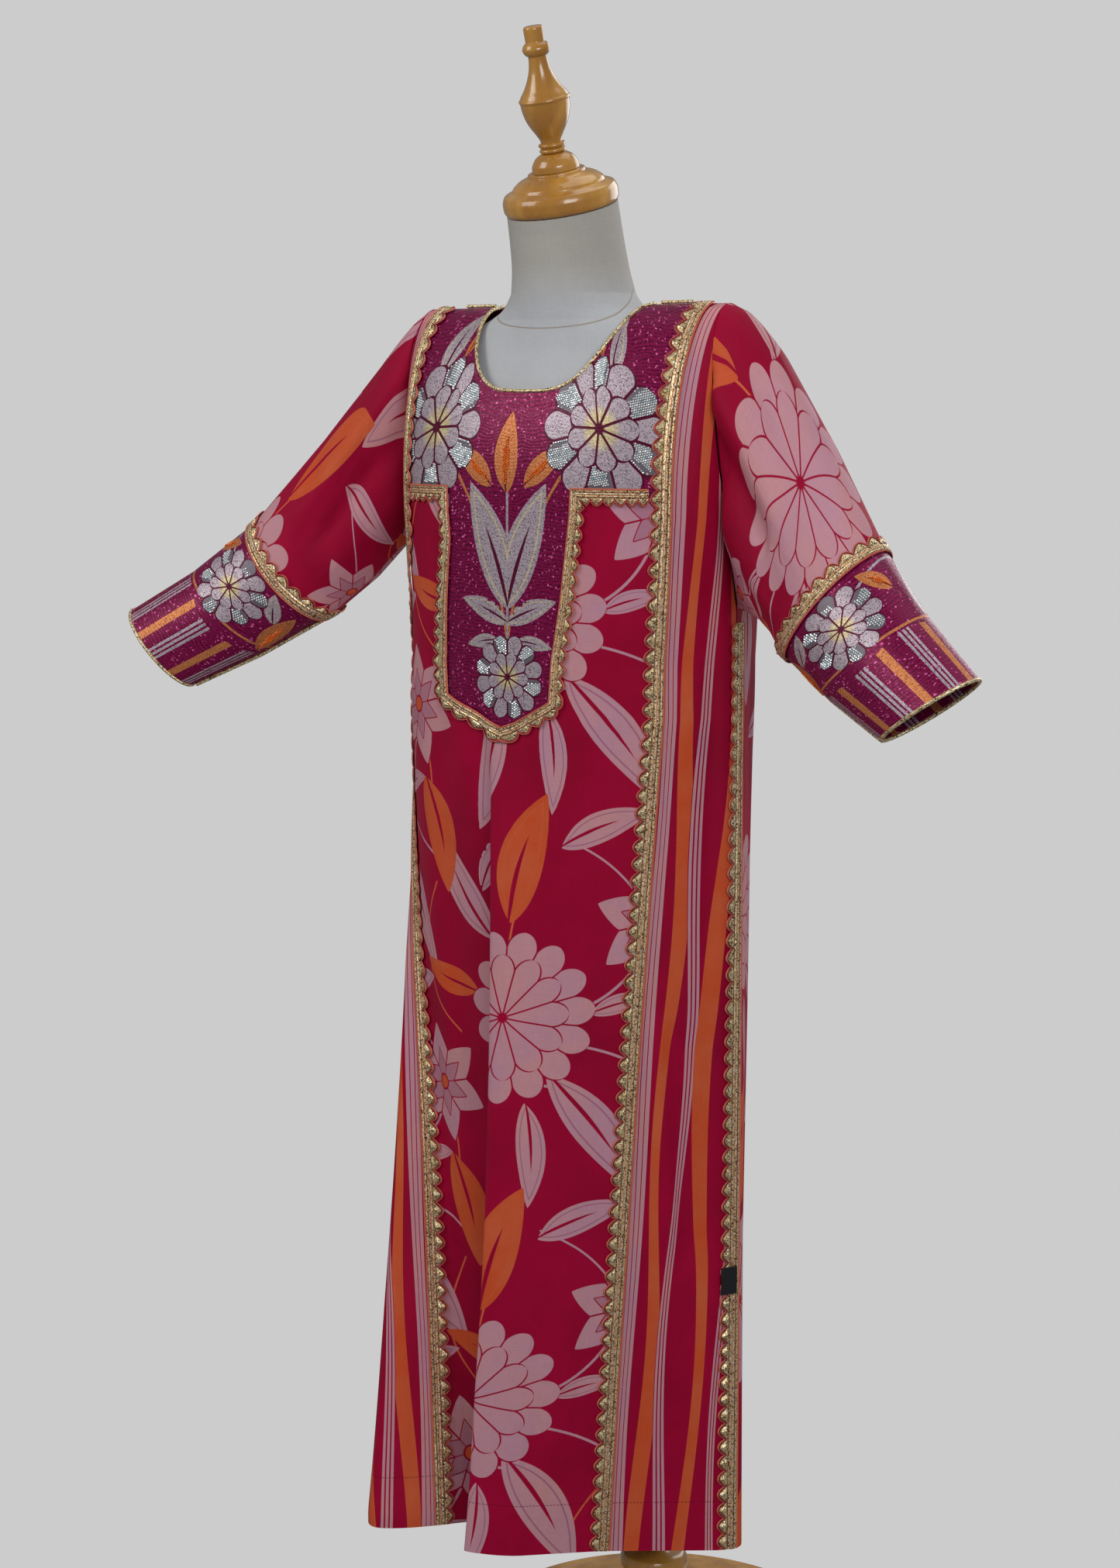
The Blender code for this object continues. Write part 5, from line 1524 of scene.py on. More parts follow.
def store_leaves(piece, leaves):
    """Pale and orange leaves go in two layers, so that one can lie over the other."""
    store_motifs(piece, "pale_leaf", leaves[leaves[:, 5] < 0.5], 1.9)
    store_motifs(piece, "orange_leaf", leaves[leaves[:, 5] > 0.5], 1.9)


def lay_print(piece, offset):
    """Put the endless printed cloth on a panel, moved by an offset."""
    flat, _, _ = face_corners(piece.data)
    low, high = flat.min(axis=0), flat.max(axis=0)
    store_motifs(piece, "bloom", repeated(BLOOMS, low, high, offset), 1.25)
    store_leaves(piece, repeated(LEAVES, low, high, offset))
    store_stalks(piece, repeated(STALKS, low, high, offset, 3))


lay_print(front, (0.006, 0.640))
lay_print(back, (0.030, 0.560))
lay_print(sleeves[1][0], (0.062, -0.105))
lay_print(sleeves[-1][0], (0.055, -0.225))
print("motifs in a repeat:", len(BLOOMS), "flowers,", len(LEAVES), "leaves,", len(STALKS), "stalks")

# %% [markdown]
# ## Printed cotton
# The ground is a deep cerise with a soft sheen. From the back forwards the print has
# stalks, leaves and flowers. Its pale pink is uneven, like dye on cotton, and thin lines
# of the ground part the petals.

# %% Printed cotton
CERISE = (0.370, 0.0005, 0.034)
CERISE_DEEP = (0.290, 0.0003, 0.026)
LILAC = (0.530, 0.265, 0.335)
LILAC_WARM = (0.590, 0.275, 0.285)
LILAC_LINE = (0.330, 0.115, 0.195)
ORANGE = (0.610, 0.080, 0.022)
ORANGE_PALE = (0.620, 0.115, 0.045)
HEM_FOLD = 0.045


def dye(flat, first, second, scale=14.0):
    """Two near colours, mixed by a cloudy noise."""
    cloud = noise(flat, scale, 3.0, 0.55)
    return blend(ramp(cloud, 0.38, 0.66), first, second)


def tier_over(under, ink, colour, local, **sizes):
    """Draw one tier of petals over what is under it, with lines in the ink's colour."""
    petals = use_group(petal_tier, Local=local, **sizes)
    covered = blend(petals["Inside"], under, colour)
    return blend(petals["Line"] * ramp(petals["Along"], 0.02, 0.06), covered, ink)


def leaf_over(tree, under, title, ink, vein, slit, strength, **shape):
    """Draw one layer of leaves over what is under it, each with a vein line and a slit."""
    leaf = use_group(leaf_shape, Local=attribute(tree, title), **shape)
    filled = blend(leaf["Inner Line"] * strength, ink, vein)
    filled = blend(leaf["Slit"], filled, slit)
    return blend(leaf["Inside"], under, filled), leaf


def print_colour(tree, flat):
    """Colour of the printed cotton at each place: stalks, then leaves, then flowers over them."""
    ground = dye(flat, CERISE, CERISE_DEEP, 9.0)
    pale = dye(flat, LILAC, LILAC_WARM)
    orange = dye(flat, ORANGE, ORANGE_PALE)
    to_pale, to_orange, _ = split(vector_calc("ABSOLUTE", attribute(tree, "stalk")))
    colour = blend(ramp(to_orange, 1.2, 0.8), ground, ORANGE_PALE)
    colour = blend(ramp(to_pale, 1.2, 0.8), colour, LILAC)
    colour, _ = leaf_over(tree, colour, "pale_leaf", pale, LILAC_LINE, ground, 0.75)
    colour, _ = leaf_over(tree, colour, "orange_leaf", orange, ORANGE_PALE, ground, 0.5)
    local = attribute(tree, "bloom")
    x, y, kind = split(local)
    distance = root(x * x + y * y)
    rosette = tier_over(colour, ground, pale, local, Petals=15.0, Reach=0.8, Tip=0.2, Line_Width=0.01)
    rosette = tier_over(rosette, ground, pale, local, Petals=12.0, Turn=0.5, Reach=0.54, Tip=0.19,
                        Line_Width=0.01)
    rosette = blend(ramp(distance, 0.075, 0.05), rosette, ground)
    simple = tier_over(colour, ground, pale, local, Petals=6.0, Reach=0.52, Tip=0.5, Point=0.75,
                       Line_Width=0.017)
    inner = tier_over(simple, ground, blend(0.5, pale, LILAC_LINE), local, Petals=6.0, Reach=0.26,
                      Tip=0.34, Point=1.0, Line_Width=0.01)
    simple = blend(ramp(distance, 0.155, 0.14), inner, ground)
    simple = blend(ramp(distance, 0.12, 0.105), simple, orange)
    return blend(kind, rosette, simple)


def finish_cotton(shader, flat, colour, above):
    """Weave, a stitched hem line and the soft gloss that both cottons share."""
    weave = use_group(plain_weave, Flat=flat, Pitch=0.00065)
    u, _, _ = split(flat)
    line = ramp(abs(above - HEM_FOLD), 0.0008, 0.0003)
    stitch = sine(u * (2.0 * math.pi / 0.003)) > -0.4
    fold = ramp(above, HEM_FOLD, HEM_FOLD + 0.0002)
    shade = blend(0.24, colour, ramp(weave["Shade"], 0.0, 1.0, 0.25, 0.9), "OVERLAY")
    shade = blend(line * stitch * 0.55, shade, (0.12, 0.001, 0.012))
    height = weave["Height"] - (line * 3.0 + fold * 1.2)
    feed(shader["Base Color"], shade)
    feed(shader["Roughness"], ramp(weave["Shade"], 0.0, 1.0, 0.5, 0.72))
    soft = noise(vector_calc("MULTIPLY", flat, (26.0, 5.0, 5.0)), 1.0, 3.0, 0.5)
    crumple = noise(vector_calc("MULTIPLY", flat, (70.0, 38.0, 38.0)), 1.0, 2.0, 0.5)
    waves = bump(soft + crumple * 0.16, 0.55, 0.006)
    feed(shader["Normal"], bump(height, 0.4, 0.00012, waves))


def make_print_cloth():
    """The print and the finish of the cotton."""
    made, tree, shader = new_material("printed_cotton", 0.62, sheen=0.01, specular=0.10)
    flat = uv_of(tree, "cloth")
    _, _, above = split(attribute(tree, "band"))
    finish_cotton(shader, flat, print_colour(tree, flat), above)
    return made


print_cloth = make_print_cloth()
for piece in (front, back, sleeves[1][0], sleeves[-1][0]):
    piece.data.materials.append(print_cloth)


# %% [markdown]
# ## Striped cotton
# The side panels are of the same cotton in stripes that sway a little. Each stripe keeps
# its distance from the front braid, and a narrower panel simply ends sooner. Three pale
# lines make a group where a cosine across the stripe is high.

# %% Striped cotton
STRIPES = (
    # distance of the middle, sway, sway turn, phase, half width, swell,
    # kind: 0 orange, 1 pale band, 2 three lines
    (0.0138, 0.0010, 17.0, 0.3, 0.0056, 0.14, 1),
    (0.0312, 0.0042, 16.0, 2.4, 0.0054, 0.30, 0),
    (0.0480, 0.0050, 13.0, 0.2, 0.0050, 0.26, 2),
    (0.0705, 0.0064, 11.5, 4.0, 0.0062, 0.30, 0),
    (0.0960, 0.0046, 12.5, 1.2, 0.0047, 0.24, 2),
    (0.1165, 0.0040, 13.5, 3.0, 0.0064, 0.28, 0),
)


def make_stripe_cloth():
    """Each stripe of the table over the ones before it."""
    made, tree, shader = new_material("striped_cotton", 0.62, sheen=0.01, specular=0.10)
    flat = uv_of(tree, "cloth")
    distance, _, above = split(attribute(tree, "band"))
    _, height, _ = split(flat)
    ground = dye(flat, CERISE, CERISE_DEEP, 9.0)
    pale = dye(flat, LILAC, LILAC_WARM)
    orange = dye(flat, ORANGE, ORANGE_PALE)
    colour = ground
    for middle, sway, sway_turn, phase, half, swell, kind in STRIPES:
        stripe = use_group(wavy_stripe, Distance=distance, Height=height, Middle=middle, Sway=sway,
                           Sway_Turn=sway_turn, Phase=phase, Half_Width=half, Swell=swell)
        if kind == 0:
            inked = orange
        elif kind == 1:
            lines = cosine(stripe["Place"] * (math.pi / 0.36))
            inked = blend(ramp(lines, -0.78, -0.92), pale, ground)
        else:
            lines = cosine(stripe["Place"] * (2.0 * math.pi / 0.667))
            inked = blend(ramp(lines, -0.3, -0.55), pale, ground)
        colour = blend(stripe["Inside"], colour, inked)
    finish_cotton(shader, flat, colour, above)
    return made


stripe_cloth = make_stripe_cloth()
for piece in side_panels.values():
    piece.data.materials.append(stripe_cloth)

# %% [markdown]
# ## Embroidery
# The yoke and the cuffs are plum cloth closely covered in fine curved stitches and tiny
# sequins, whose glints are painted. Their flowers are filled with silver thread, and every second petal
# with cut stones. Their arrangement is this part's own: two flowers, a pair of leaves and a small
# flower at the point, each the mirror image of the other side.

# %% Where the motifs lie
YOKE_MIDDLE = -0.007


def mirrored(rows):
    """The rows and their mirror images about the yoke's middle."""
    rows = np.array(rows)
    other = rows.copy()
    other[:, 0] = 2.0 * YOKE_MIDDLE - other[:, 0]
    other[:, 4] = 180.0 - other[:, 4]
    other[:, 3] *= -1.0
    return np.concatenate((rows, other))


YOKE_BLOOMS = np.concatenate((mirrored([(0.086, 1.138, 0.060, 0.060, 12.0, 0.0)]),
                              np.array([(YOKE_MIDDLE, 0.930, 0.036, 0.036, 90.0, 0.0)])))
YOKE_LEAVES = np.concatenate((mirrored([
    (0.013, 1.040, 0.056, 0.0175, 70.0, 0.0), (0.017, 0.985, 0.027, 0.0090, 22.0, 0.0),
    (0.030, 1.106, 0.026, 0.0100, 40.0, 1.0), (0.113, 1.212, 0.030, 0.0110, 78.0, 0.0),
    (0.083, 1.218, 0.022, 0.0080, 98.0, 1.0), (0.020, 0.958, 0.018, 0.0060, -8.0, 0.0)]),
    np.array([(YOKE_MIDDLE, 1.118, 0.034, 0.0120, 90.0, 1.0)])))
YOKE_STALKS = np.array([
    (YOKE_MIDDLE, 0.960, 0.010, 1.060, 0.060, 1.115, 0.0013, 1.0),
    (YOKE_MIDDLE, 0.960, -0.024, 1.060, -0.074, 1.115, 0.0013, 1.0),
    (YOKE_MIDDLE, 0.960, YOKE_MIDDLE, 1.020, YOKE_MIDDLE, 1.090, 0.0012, 0.0),
    (0.090, 1.140, 0.120, 1.190, 0.100, 1.232, 0.0012, 1.0),
    (-0.104, 1.140, -0.134, 1.190, -0.114, 1.232, 0.0012, 1.0),
])


def cuff_motifs(girth):
    """Flowers, leaves and stalks round the arm, spaced by quarters of its girth."""
    quarter = girth * 0.25
    blooms = np.array([(place * quarter, -0.042, 0.034, 0.034, 80.0, 0.0) for place in (0.9, -1.1)])
    leaves = np.array([
        (-0.010, -0.044, 0.029, 0.0120, 96.0, 0.0),
        (quarter * 0.36, -0.026, 0.017, 0.0070, 52.0, 1.0),
        (quarter * 1.42, -0.024, 0.016, 0.0065, 128.0, 0.0),
        (quarter * 1.75, -0.046, 0.027, 0.0105, 100.0, 1.0),
        (-quarter * 1.9, -0.044, 0.028, 0.0110, 84.0, 0.0),
        (-quarter * 0.55, -0.026, 0.017, 0.0070, 120.0, 1.0)])
    stalks = np.array([
        (-quarter * 2.0, -0.064, 0.0, -0.082, quarter * 1.9, -0.064, 0.0012, 1.0),
        (-quarter, -0.042, 0.0, 0.020, quarter * 0.9, -0.042, 0.0012, 0.0)])
    return blooms, leaves, stalks


cuff_layout = {side: cuff_motifs(girths[side][2]) for side in (1, -1)}
worked_pieces = [(yoke, (YOKE_BLOOMS, YOKE_LEAVES, YOKE_STALKS))]
worked_pieces += [(sleeves[side][1], motifs) for side, motifs in cuff_layout.items()]
for piece, (blooms, leaves, stalks) in worked_pieces:
    store_motifs(piece, "bloom", blooms, 1.2)
    store_leaves(piece, leaves)
    store_stalks(piece, stalks)

# %% Embroidered cloth
PLUM = (0.262, 0.0015, 0.074)
PLUM_DARK = (0.100, 0.0006, 0.024)
SILVER = (0.390, 0.300, 0.345)
SILVER_BRIGHT = (0.640, 0.560, 0.610)
THREAD_ORANGE = (0.560, 0.165, 0.050)
THREAD_GOLD = (0.520, 0.400, 0.190)
CUFF_EDGE_ROW = -0.080
BAR_REPEAT = 0.044
OUTER = {"Petals": 12.0, "Turn": 0.0, "Reach": 0.80, "Tip": 0.19}
INNER = {"Petals": 9.0, "Turn": 0.6, "Reach": 0.44, "Tip": 0.15}


def make_plum_cloth():
    """Sequins on plum with painted glints, then stalks, the bars at a cuff's edge, leaves and flowers in
    metal thread.
    """
    made, tree, shader = new_material("embroidered_plum", 0.42, metallic=0.2, specular=0.22)
    flat = uv_of(tree, "cloth")
    lit, tone, _ = cells(flat, 760.0)
    sway = noise(flat, 46.0, 1.0, 0.4)
    u, v, _ = split(flat)
    rows = sine(v * (2.0 * math.pi / 0.003) + sway * 26.0)
    ground = blend(ramp(rows, -0.2, 0.9), PLUM_DARK, PLUM)
    ground = blend(ramp(tone, 0.0, 1.0, 0.0, 0.55), ground, PLUM)
    # painted glint: a few random sequin cells are coloured bright pink, as sequins catching the light
    ground = blend(ramp(lit, 0.95, 0.98), ground, (0.8, 0.16, 0.42))
    thread = use_group(stitched_thread, Flat=flat, Turn=0.5)
    silver = blend(ramp(thread["Shade"], 0.3, 0.72), SILVER, SILVER_BRIGHT)
    silver = blend(ramp(thread["Fleck"], 0.24, 0.14), silver, (0.15, 0.085, 0.12))
    orange = blend(ramp(thread["Shade"], 0.3, 0.7), THREAD_ORANGE, (0.7, 0.29, 0.11))
    orange = blend(ramp(thread["Fleck"], 0.2, 0.12), orange, (0.24, 0.05, 0.03))
    gold = blend(ramp(thread["Fleck"], 0.2, 0.8), THREAD_GOLD, (0.8, 0.7, 0.42))
    edge = CUFF_EDGE_ROW + sine(u * 60.0) * 0.004
    part = calc("FRACT", u / BAR_REPEAT)
    on_cuff_end = v < edge
    bar = abs(part - 0.22) < 0.082
    three = cosine((part - 0.68) * (2.0 * math.pi / 0.095)) > -0.25
    three = three * (abs(part - 0.68) < 0.135)
    bar, three = bar * on_cuff_end, three * on_cuff_end
    to_pale, to_orange, _ = split(vector_calc("ABSOLUTE", attribute(tree, "stalk")))
    pale_stalk, orange_stalk = ramp(to_pale, 1.15, 0.85), ramp(to_orange, 1.15, 0.85)
    colour = blend(larger(orange_stalk, bar), ground, orange)
    colour = blend(larger(pale_stalk, three), colour, silver)
    worked = larger(larger(pale_stalk, orange_stalk), larger(bar, three))
    for title, ink, vein in (("pale_leaf", silver, gold), ("orange_leaf", orange, THREAD_ORANGE)):
        colour, leaf = leaf_over(tree, colour, title, ink, vein, PLUM_DARK, 1.0, Bend=0.22)
        worked = larger(worked, limited(leaf["Inside"] - leaf["Slit"]))
    local = attribute(tree, "bloom")
    x, y, _ = split(local)
    radius = root(x * x + y * y)
    outer = use_group(petal_tier, Local=local, Line_Width=0.022, **OUTER)
    stones = calc("MODULO", outer["Which"], 2.0) < 0.5
    petal = blend(stones, silver, (0.17, 0.14, 0.165))
    colour = blend(outer["Inside"], colour, petal)
    colour = blend(outer["Line"], colour, PLUM_DARK)
    inner = use_group(petal_tier, Local=local, Line_Width=0.02, **INNER)
    colour = blend(inner["Inside"], colour, blend(ramp(radius, 0.2, 0.34), gold, silver))
    colour = blend(inner["Line"], colour, PLUM_DARK)
    colour = blend(ramp(radius, 0.1, 0.07), colour, PLUM_DARK)
    lines = larger(outer["Line"], inner["Line"])
    worked = larger(worked, limited(outer["Inside"] - lines))
    sparkle = blend_value(worked, lit * 0.6, thread["Height"] * 0.5)
    height = worked * 1.1 + (sparkle + rows * 0.12)
    feed(shader["Base Color"], colour)
    feed(shader["Metallic"], blend_value(worked, 0.25, 0.42))
    cloth_rough, thread_rough = ramp(tone, 0.0, 1.0, 0.22, 0.55), ramp(thread["Shade"], 0.2, 0.8, 0.52, 0.3)
    feed(shader["Roughness"], blend_value(worked, cloth_rough, thread_rough))
    feed(shader["Normal"], bump(height, 0.6, 0.00035))
    return made


plum_cloth = make_plum_cloth()
for piece, _ in worked_pieces:
    piece.data.materials.append(plum_cloth)

# %% [markdown]
# ## Cut stones and beads
# The stones are small six-sided cut glasses on a grid of triangles, and the beads are
# round. The same petal formula as in the material says which places lie in a petal. A
# place in flat coordinates is found on the cloth from the nearest point of its grid.

# %% Stones
STONE_PITCH = 0.0021
STONE_RADIUS = 0.00088
BEAD_PITCH = 0.0019
BEAD_RADIUS = 0.0009
STONE_LIFT = 0.0002


def petal_edge(local, sizes):
    """The petal formula in numpy: how far inside its petal a place lies, and which petal it is."""
    angle = np.arctan2(local[:, 1], local[:, 0]) + sizes["Turn"]
    share = angle * sizes["Petals"] / (2.0 * math.pi) + 40.0
    which = np.floor(share)
    inner = (share - which - 0.5) * 2.0 * math.pi / sizes["Petals"]
    radius = np.linalg.norm(local, axis=1)
    along, aside = radius * np.cos(inner), radius * np.abs(np.sin(inner))
    widest = sizes["Reach"] * math.tan(math.pi / sizes["Petals"])
    beyond = np.clip((along - sizes["Reach"]) / sizes["Tip"], 0.0, 1.0)
    width = widest * np.minimum(np.minimum(along / sizes["Reach"], 1.0), np.sqrt(1.0 - beyond ** 2))
    return width - aside, which


def triangle_grid(reach, pitch):
    """Points on a grid of triangles in a square round zero."""
    count = int(reach / pitch) + 2
    col, row = np.meshgrid(np.arange(-count, count + 1), np.arange(-count, count + 1))
    return np.stack(((col + 0.5 * (row % 2)) * pitch, row * pitch * 0.866), axis=-1).reshape(-1, 2)


def out_of_motif(local, motif):
    """Flat coordinates of places given in a motif's own frame."""
    turn = math.radians(motif[4])
    x, y = local[:, 0] * motif[2], local[:, 1] * motif[3]
    return np.stack((motif[0] + x * math.cos(turn) - y * math.sin(turn),
                     motif[1] + x * math.sin(turn) + y * math.cos(turn)), axis=1)


def petal_places(motif):
    """Places for stones in every second petal, clear of its edges and of the inner petals."""
    radius = motif[2]
    local = triangle_grid(radius, STONE_PITCH) / radius
    edge, which = petal_edge(local, OUTER)
    inner_edge, _ = petal_edge(local, INNER)
    good = (edge > 0.0011 / radius) & (which % 2.0 < 0.5) & (inner_edge < -0.0014 / radius)
    good &= np.linalg.norm(local, axis=1) > 0.30
    return out_of_motif(local[good], motif)


def leaf_places(motif, blooms):
    """Places for beads along a leaf's slit, a slim lens round its bent middle line, clear of flowers."""
    half, wide = motif[2], abs(motif[3])
    local = triangle_grid(half, BEAD_PITCH) / (half, wide)
    lens = 1.0 - local[:, 0] ** 2
    bent = local[:, 1] - 0.22 * lens + 0.10 * local[:, 0]
    reach = (local[:, 0] + 0.20) / 0.62
    slim = 0.26 * (1.0 - reach ** 2)
    places = out_of_motif(local[np.abs(bent) < slim], motif)
    apart = np.linalg.norm(places[:, None] - blooms[None, :, :2], axis=2)
    return places[(apart > blooms[:, 2]).all(axis=1)]


def find_on(grid, wanted):
    """Surface parameters at flat places: those of the nearest grid point and a straight step from it."""
    flat, values = grid
    columns = flat.shape[1]
    down_flat, across_flat = np.gradient(flat, axis=0), np.gradient(flat, axis=1)
    down_value, across_value = np.gradient(values, axis=0), np.gradient(values, axis=1)
    nodes = flat.reshape(-1, 2)
    result = []
    for chunk in np.array_split(wanted, max(1, len(wanted) // 200)):
        nearest = np.argmin(((chunk[:, None, :] - nodes[None, :, :]) ** 2).sum(axis=-1), axis=1)
        row, column = nearest // columns, nearest % columns
        matrix = np.stack((down_flat[row, column], across_flat[row, column]), axis=-1)
        step = np.linalg.solve(matrix, (chunk - flat[row, column])[..., None])[..., 0]
        moved = values[row, column] + step[:, :1] * down_value[row, column]
        result.append(moved + step[:, 1:] * across_value[row, column])
    return np.concatenate(result)


def studs(name, places, normals, radius, levels, tilt, sides=6):
    """Many small round pieces as one mesh. levels give one's rings, as shares of the radius and heights.

    Each is tilted a little its own way, as stones set by hand are, so that each catches
    the light by itself.
    """
    normals = unit(normals + np.random.default_rng(5).normal(0.0, tilt, normals.shape))
    guide = unit(np.cross(normals, np.array((0.31, 0.22, 0.92))))
    other = np.cross(normals, guide)
    turn = np.linspace(0.0, 2.0 * math.pi, sides, endpoint=False)
    ring = np.cos(turn)[:, None] * guide[:, None] + np.sin(turn)[:, None] * other[:, None]
    rings = [places[:, None] + normals[:, None] * height + ring * radius * share
             for share, height in levels]
    points = np.stack(rings, axis=1).reshape(-1, 3)
    base = (np.arange(len(places)) * sides * len(levels))[:, None, None]
    faces = (grid_faces(len(levels), sides) + base).reshape(-1, 4).tolist()
    top = (len(levels) - 1) * sides + np.arange(sides)
    faces += (top + base[:, 0]).tolist()
    return make_object(name, points, faces, smooth=False)


def on_yoke(places):
    """Points and normals on the yoke for flat places, without those under a braid or off the edge."""
    station, height = find_on(yoke_grid, places).T
    high = (height > YOKE_LOW + 0.0095) & (np.abs(station) < 0.90)
    low = np.abs(station - PLACKET_MIDDLE) < PLACKET_HALF - 0.035
    low &= height > placket_low(station) + 0.0050
    good = (high | low) & (height < neck_edge(station, FRONT_NECK_HEIGHT) - 0.0045)
    station, height = station[good], height[good]
    point = cloth_point(station, height, STONE_LIFT)
    normal = cloth_point(station, height, STONE_LIFT + 0.001) - point
    point[:, 1] -= SHOULDER_SHIFT
    return point, unit(normal)


def on_cuff(places, side):
    """The same on a cuff, between its braid and its edge cord."""
    place, turn = find_on(cuff_grids[side], places).T
    good = (place > CUFF_PLACE + 0.24) & (place < 4.93)
    point = sleeve_point(place[good], turn[good], side, STONE_LIFT)
    normal = sleeve_point(place[good], turn[good], side, STONE_LIFT + 0.001) - point
    return point, unit(normal)


STONE_LEVELS = ((1.0, -0.0001), (1.0, 0.0003), (0.52, 0.0008))
BEAD_LEVELS = ((0.55, -0.0001), (1.0, 0.0004), (0.80, 0.0009), (0.35, 0.0011))
stone_sets = [on_yoke(petal_places(motif)) for motif in YOKE_BLOOMS]
bead_sets = [on_yoke(leaf_places(motif, YOKE_BLOOMS)) for motif in YOKE_LEAVES if motif[5] > 0.5]
for side, (blooms, leaves, _) in cuff_layout.items():
    stone_sets += [on_cuff(petal_places(motif), side) for motif in blooms]
    bead_sets += [on_cuff(leaf_places(motif, blooms), side) for motif in leaves if motif[5] > 0.5]
stone_points, stone_normals = [np.concatenate(part) for part in zip(*stone_sets)]
bead_points, bead_normals = [np.concatenate(part) for part in zip(*bead_sets)]
cut_stones = studs("cut_stones", stone_points, stone_normals, STONE_RADIUS, STONE_LEVELS, 0.13)
orange_beads = studs("orange_beads", bead_points, bead_normals, BEAD_RADIUS, BEAD_LEVELS, 0.06)
print("stones:", len(stone_points), "beads:", len(bead_points))


def make_stone_material():
    """Clear glass over foil, each stone with its own tint and polish."""
    made, tree, shader = new_material("cut_glass", 0.10, metallic=0.30, coat=0.6, specular=0.9)
    lit, tone, _ = cells(object_place(tree), 480.0)
    colour = blend(lit, (0.8, 0.9, 0.9), (1.0, 1.0, 1.0))
    colour = blend(ramp(tone, 0.86, 0.95), colour, (0.35, 0.55, 0.6))
    feed(shader["Base Color"], colour)
    feed(shader["Roughness"], ramp(tone, 0.0, 1.0, 0.06, 0.22))
    return made


def make_bead_material():
    """Orange glass, each bead a little redder or paler."""
    made, tree, shader = new_material("orange_glass_beads", 0.16, coat=0.4)
    tone, _, _ = cells(object_place(tree), 520.0)
    feed(shader["Base Color"], blend(tone, (0.8, 0.1, 0.004), (0.95, 0.24, 0.015)))
    feed(shader["Roughness"], ramp(tone, 0.0, 1.0, 0.12, 0.28))
    return made


cut_stones.data.materials.append(make_stone_material())
orange_beads.data.materials.append(make_bead_material())

# %% [markdown]
# ## Braid, cord, linen, wood and label
# The braid is metal thread whose glitter is painted as bright and dark flecks, with red and orange lines
# between its bands and round its lobes. The wood has fine grain along its height under a glossy varnish.

# %% Metal thread
GOLD = (0.700, 0.450, 0.200)
GOLD_PALE = (0.920, 0.740, 0.380)
GOLD_PAINTED_GLINT = (1.000, 0.960, 0.740)
GOLD_PAINTED_SHADE = (0.090, 0.050, 0.018)
EDGING = (0.660, 0.140, 0.080)
RED_LINE = (0.200, 0.008, 0.020)
BRAID_LINES = (
    # middle and half width as shares of the braid's width, colour
    (0.045, 0.050, EDGING), (0.235, 0.016, RED_LINE), (0.370, 0.013, EDGING), (0.515, 0.016, RED_LINE))


def gold_thread(place, flat):
    """Glittering thread: streaks of paler and deeper gold, with fine flecks painted as glints and as shade.
    """
    thread = use_group(stitched_thread, Flat=flat, Turn=0.2)
    lit, rough, _ = cells(place, 1150.0)
    colour = blend(ramp(thread["Shade"], 0.3, 0.6), GOLD, GOLD_PALE)
    # painted shade and painted glints: random dark and bright flecks stand for facets of the thread turned
    # away from and towards the light
    colour = blend(ramp(lit, 0.3, 0.22), colour, GOLD_PAINTED_SHADE)
    colour = blend(ramp(lit, 0.8, 0.86), colour, GOLD_PAINTED_GLINT)
    return colour, thread["Height"] + rough * 1.6


def make_braid_material():
    """Gold bands with lines between them, and tan lobes that each hold a gold triangle.

    The triangle is where the distance from the lobe's middle and the distance out,
    each as a share of its own reach, add up to less than 1.
    """
    made, tree, shader = new_material("gold_braid", 0.34, metallic=0.7, specular=0.6)
    place = object_place(tree)
    x, y, _ = split(uv_of(tree, "braid"))
    metres = join(x * PITCH, y * BRAID_WIDTH)
    gold, height = gold_thread(place, metres)
    from_edge = attribute(tree, "from_edge", "Fac")
    tan = blend(ramp(noise(place, 900.0), 0.4, 0.6), (0.29, 0.032, 0.036), (0.46, 0.19, 0.105))
    inner = calc("FRACT", x) - 0.5
    rise = (y - 0.58) / 0.42
    reach = abs(inner) / 0.46 + rise / 0.86
    lobes = blend(ramp(reach, 1.0, 0.9), tan, gold)
    rim = ramp(from_edge, 0.0013, 0.001)
    second = ramp(from_edge, 0.0023, 0.002) * (1.0 - rim)
    lobes = blend(second, lobes, RED_LINE)
    lobes = blend(rim, lobes, EDGING)
    colour = blend(ramp(y, 0.525, 0.535), gold, lobes)
    threads = rim * (y > 0.53)
    for middle, half, tint in BRAID_LINES:
        near = ramp(abs(y - middle), half + 0.006, half - 0.002)
        colour = blend(near, colour, tint)
        threads = larger(threads, near)
    metal = limited(1.0 - threads)
    feed(shader["Base Color"], colour)
    feed(shader["Metallic"], metal * 0.72)
    feed(shader["Roughness"], blend_value(metal, 0.62, 0.33))
    feed(shader["Normal"], bump(height, 0.75, 0.0003))
    return made


def make_cord_material():
    """The same thread without lines."""
    made, tree, shader = new_material("gold_cord", 0.32, metallic=0.7, specular=0.6)
    gold, height = gold_thread(object_place(tree), uv_of(tree, "cord"))
    feed(shader["Base Color"], gold)
    feed(shader["Metallic"], 0.72)
    feed(shader["Roughness"], ramp(height, 0.2, 1.4, 0.26, 0.44))
    feed(shader["Normal"], bump(height, 0.6, 0.00025))
    return made


braid_gold = make_braid_material()
cord_gold = make_cord_material()
for piece in braids:
    piece.data.materials.append(braid_gold)
for piece in cords:
    piece.data.materials.append(cord_gold)


# %% Linen, wood, label and floor
NECK_SEAM_HEIGHT = 1.247
AMBIENT = (0.205, 0.205, 0.215)
BACKDROP = (0.604, 0.604, 0.604)


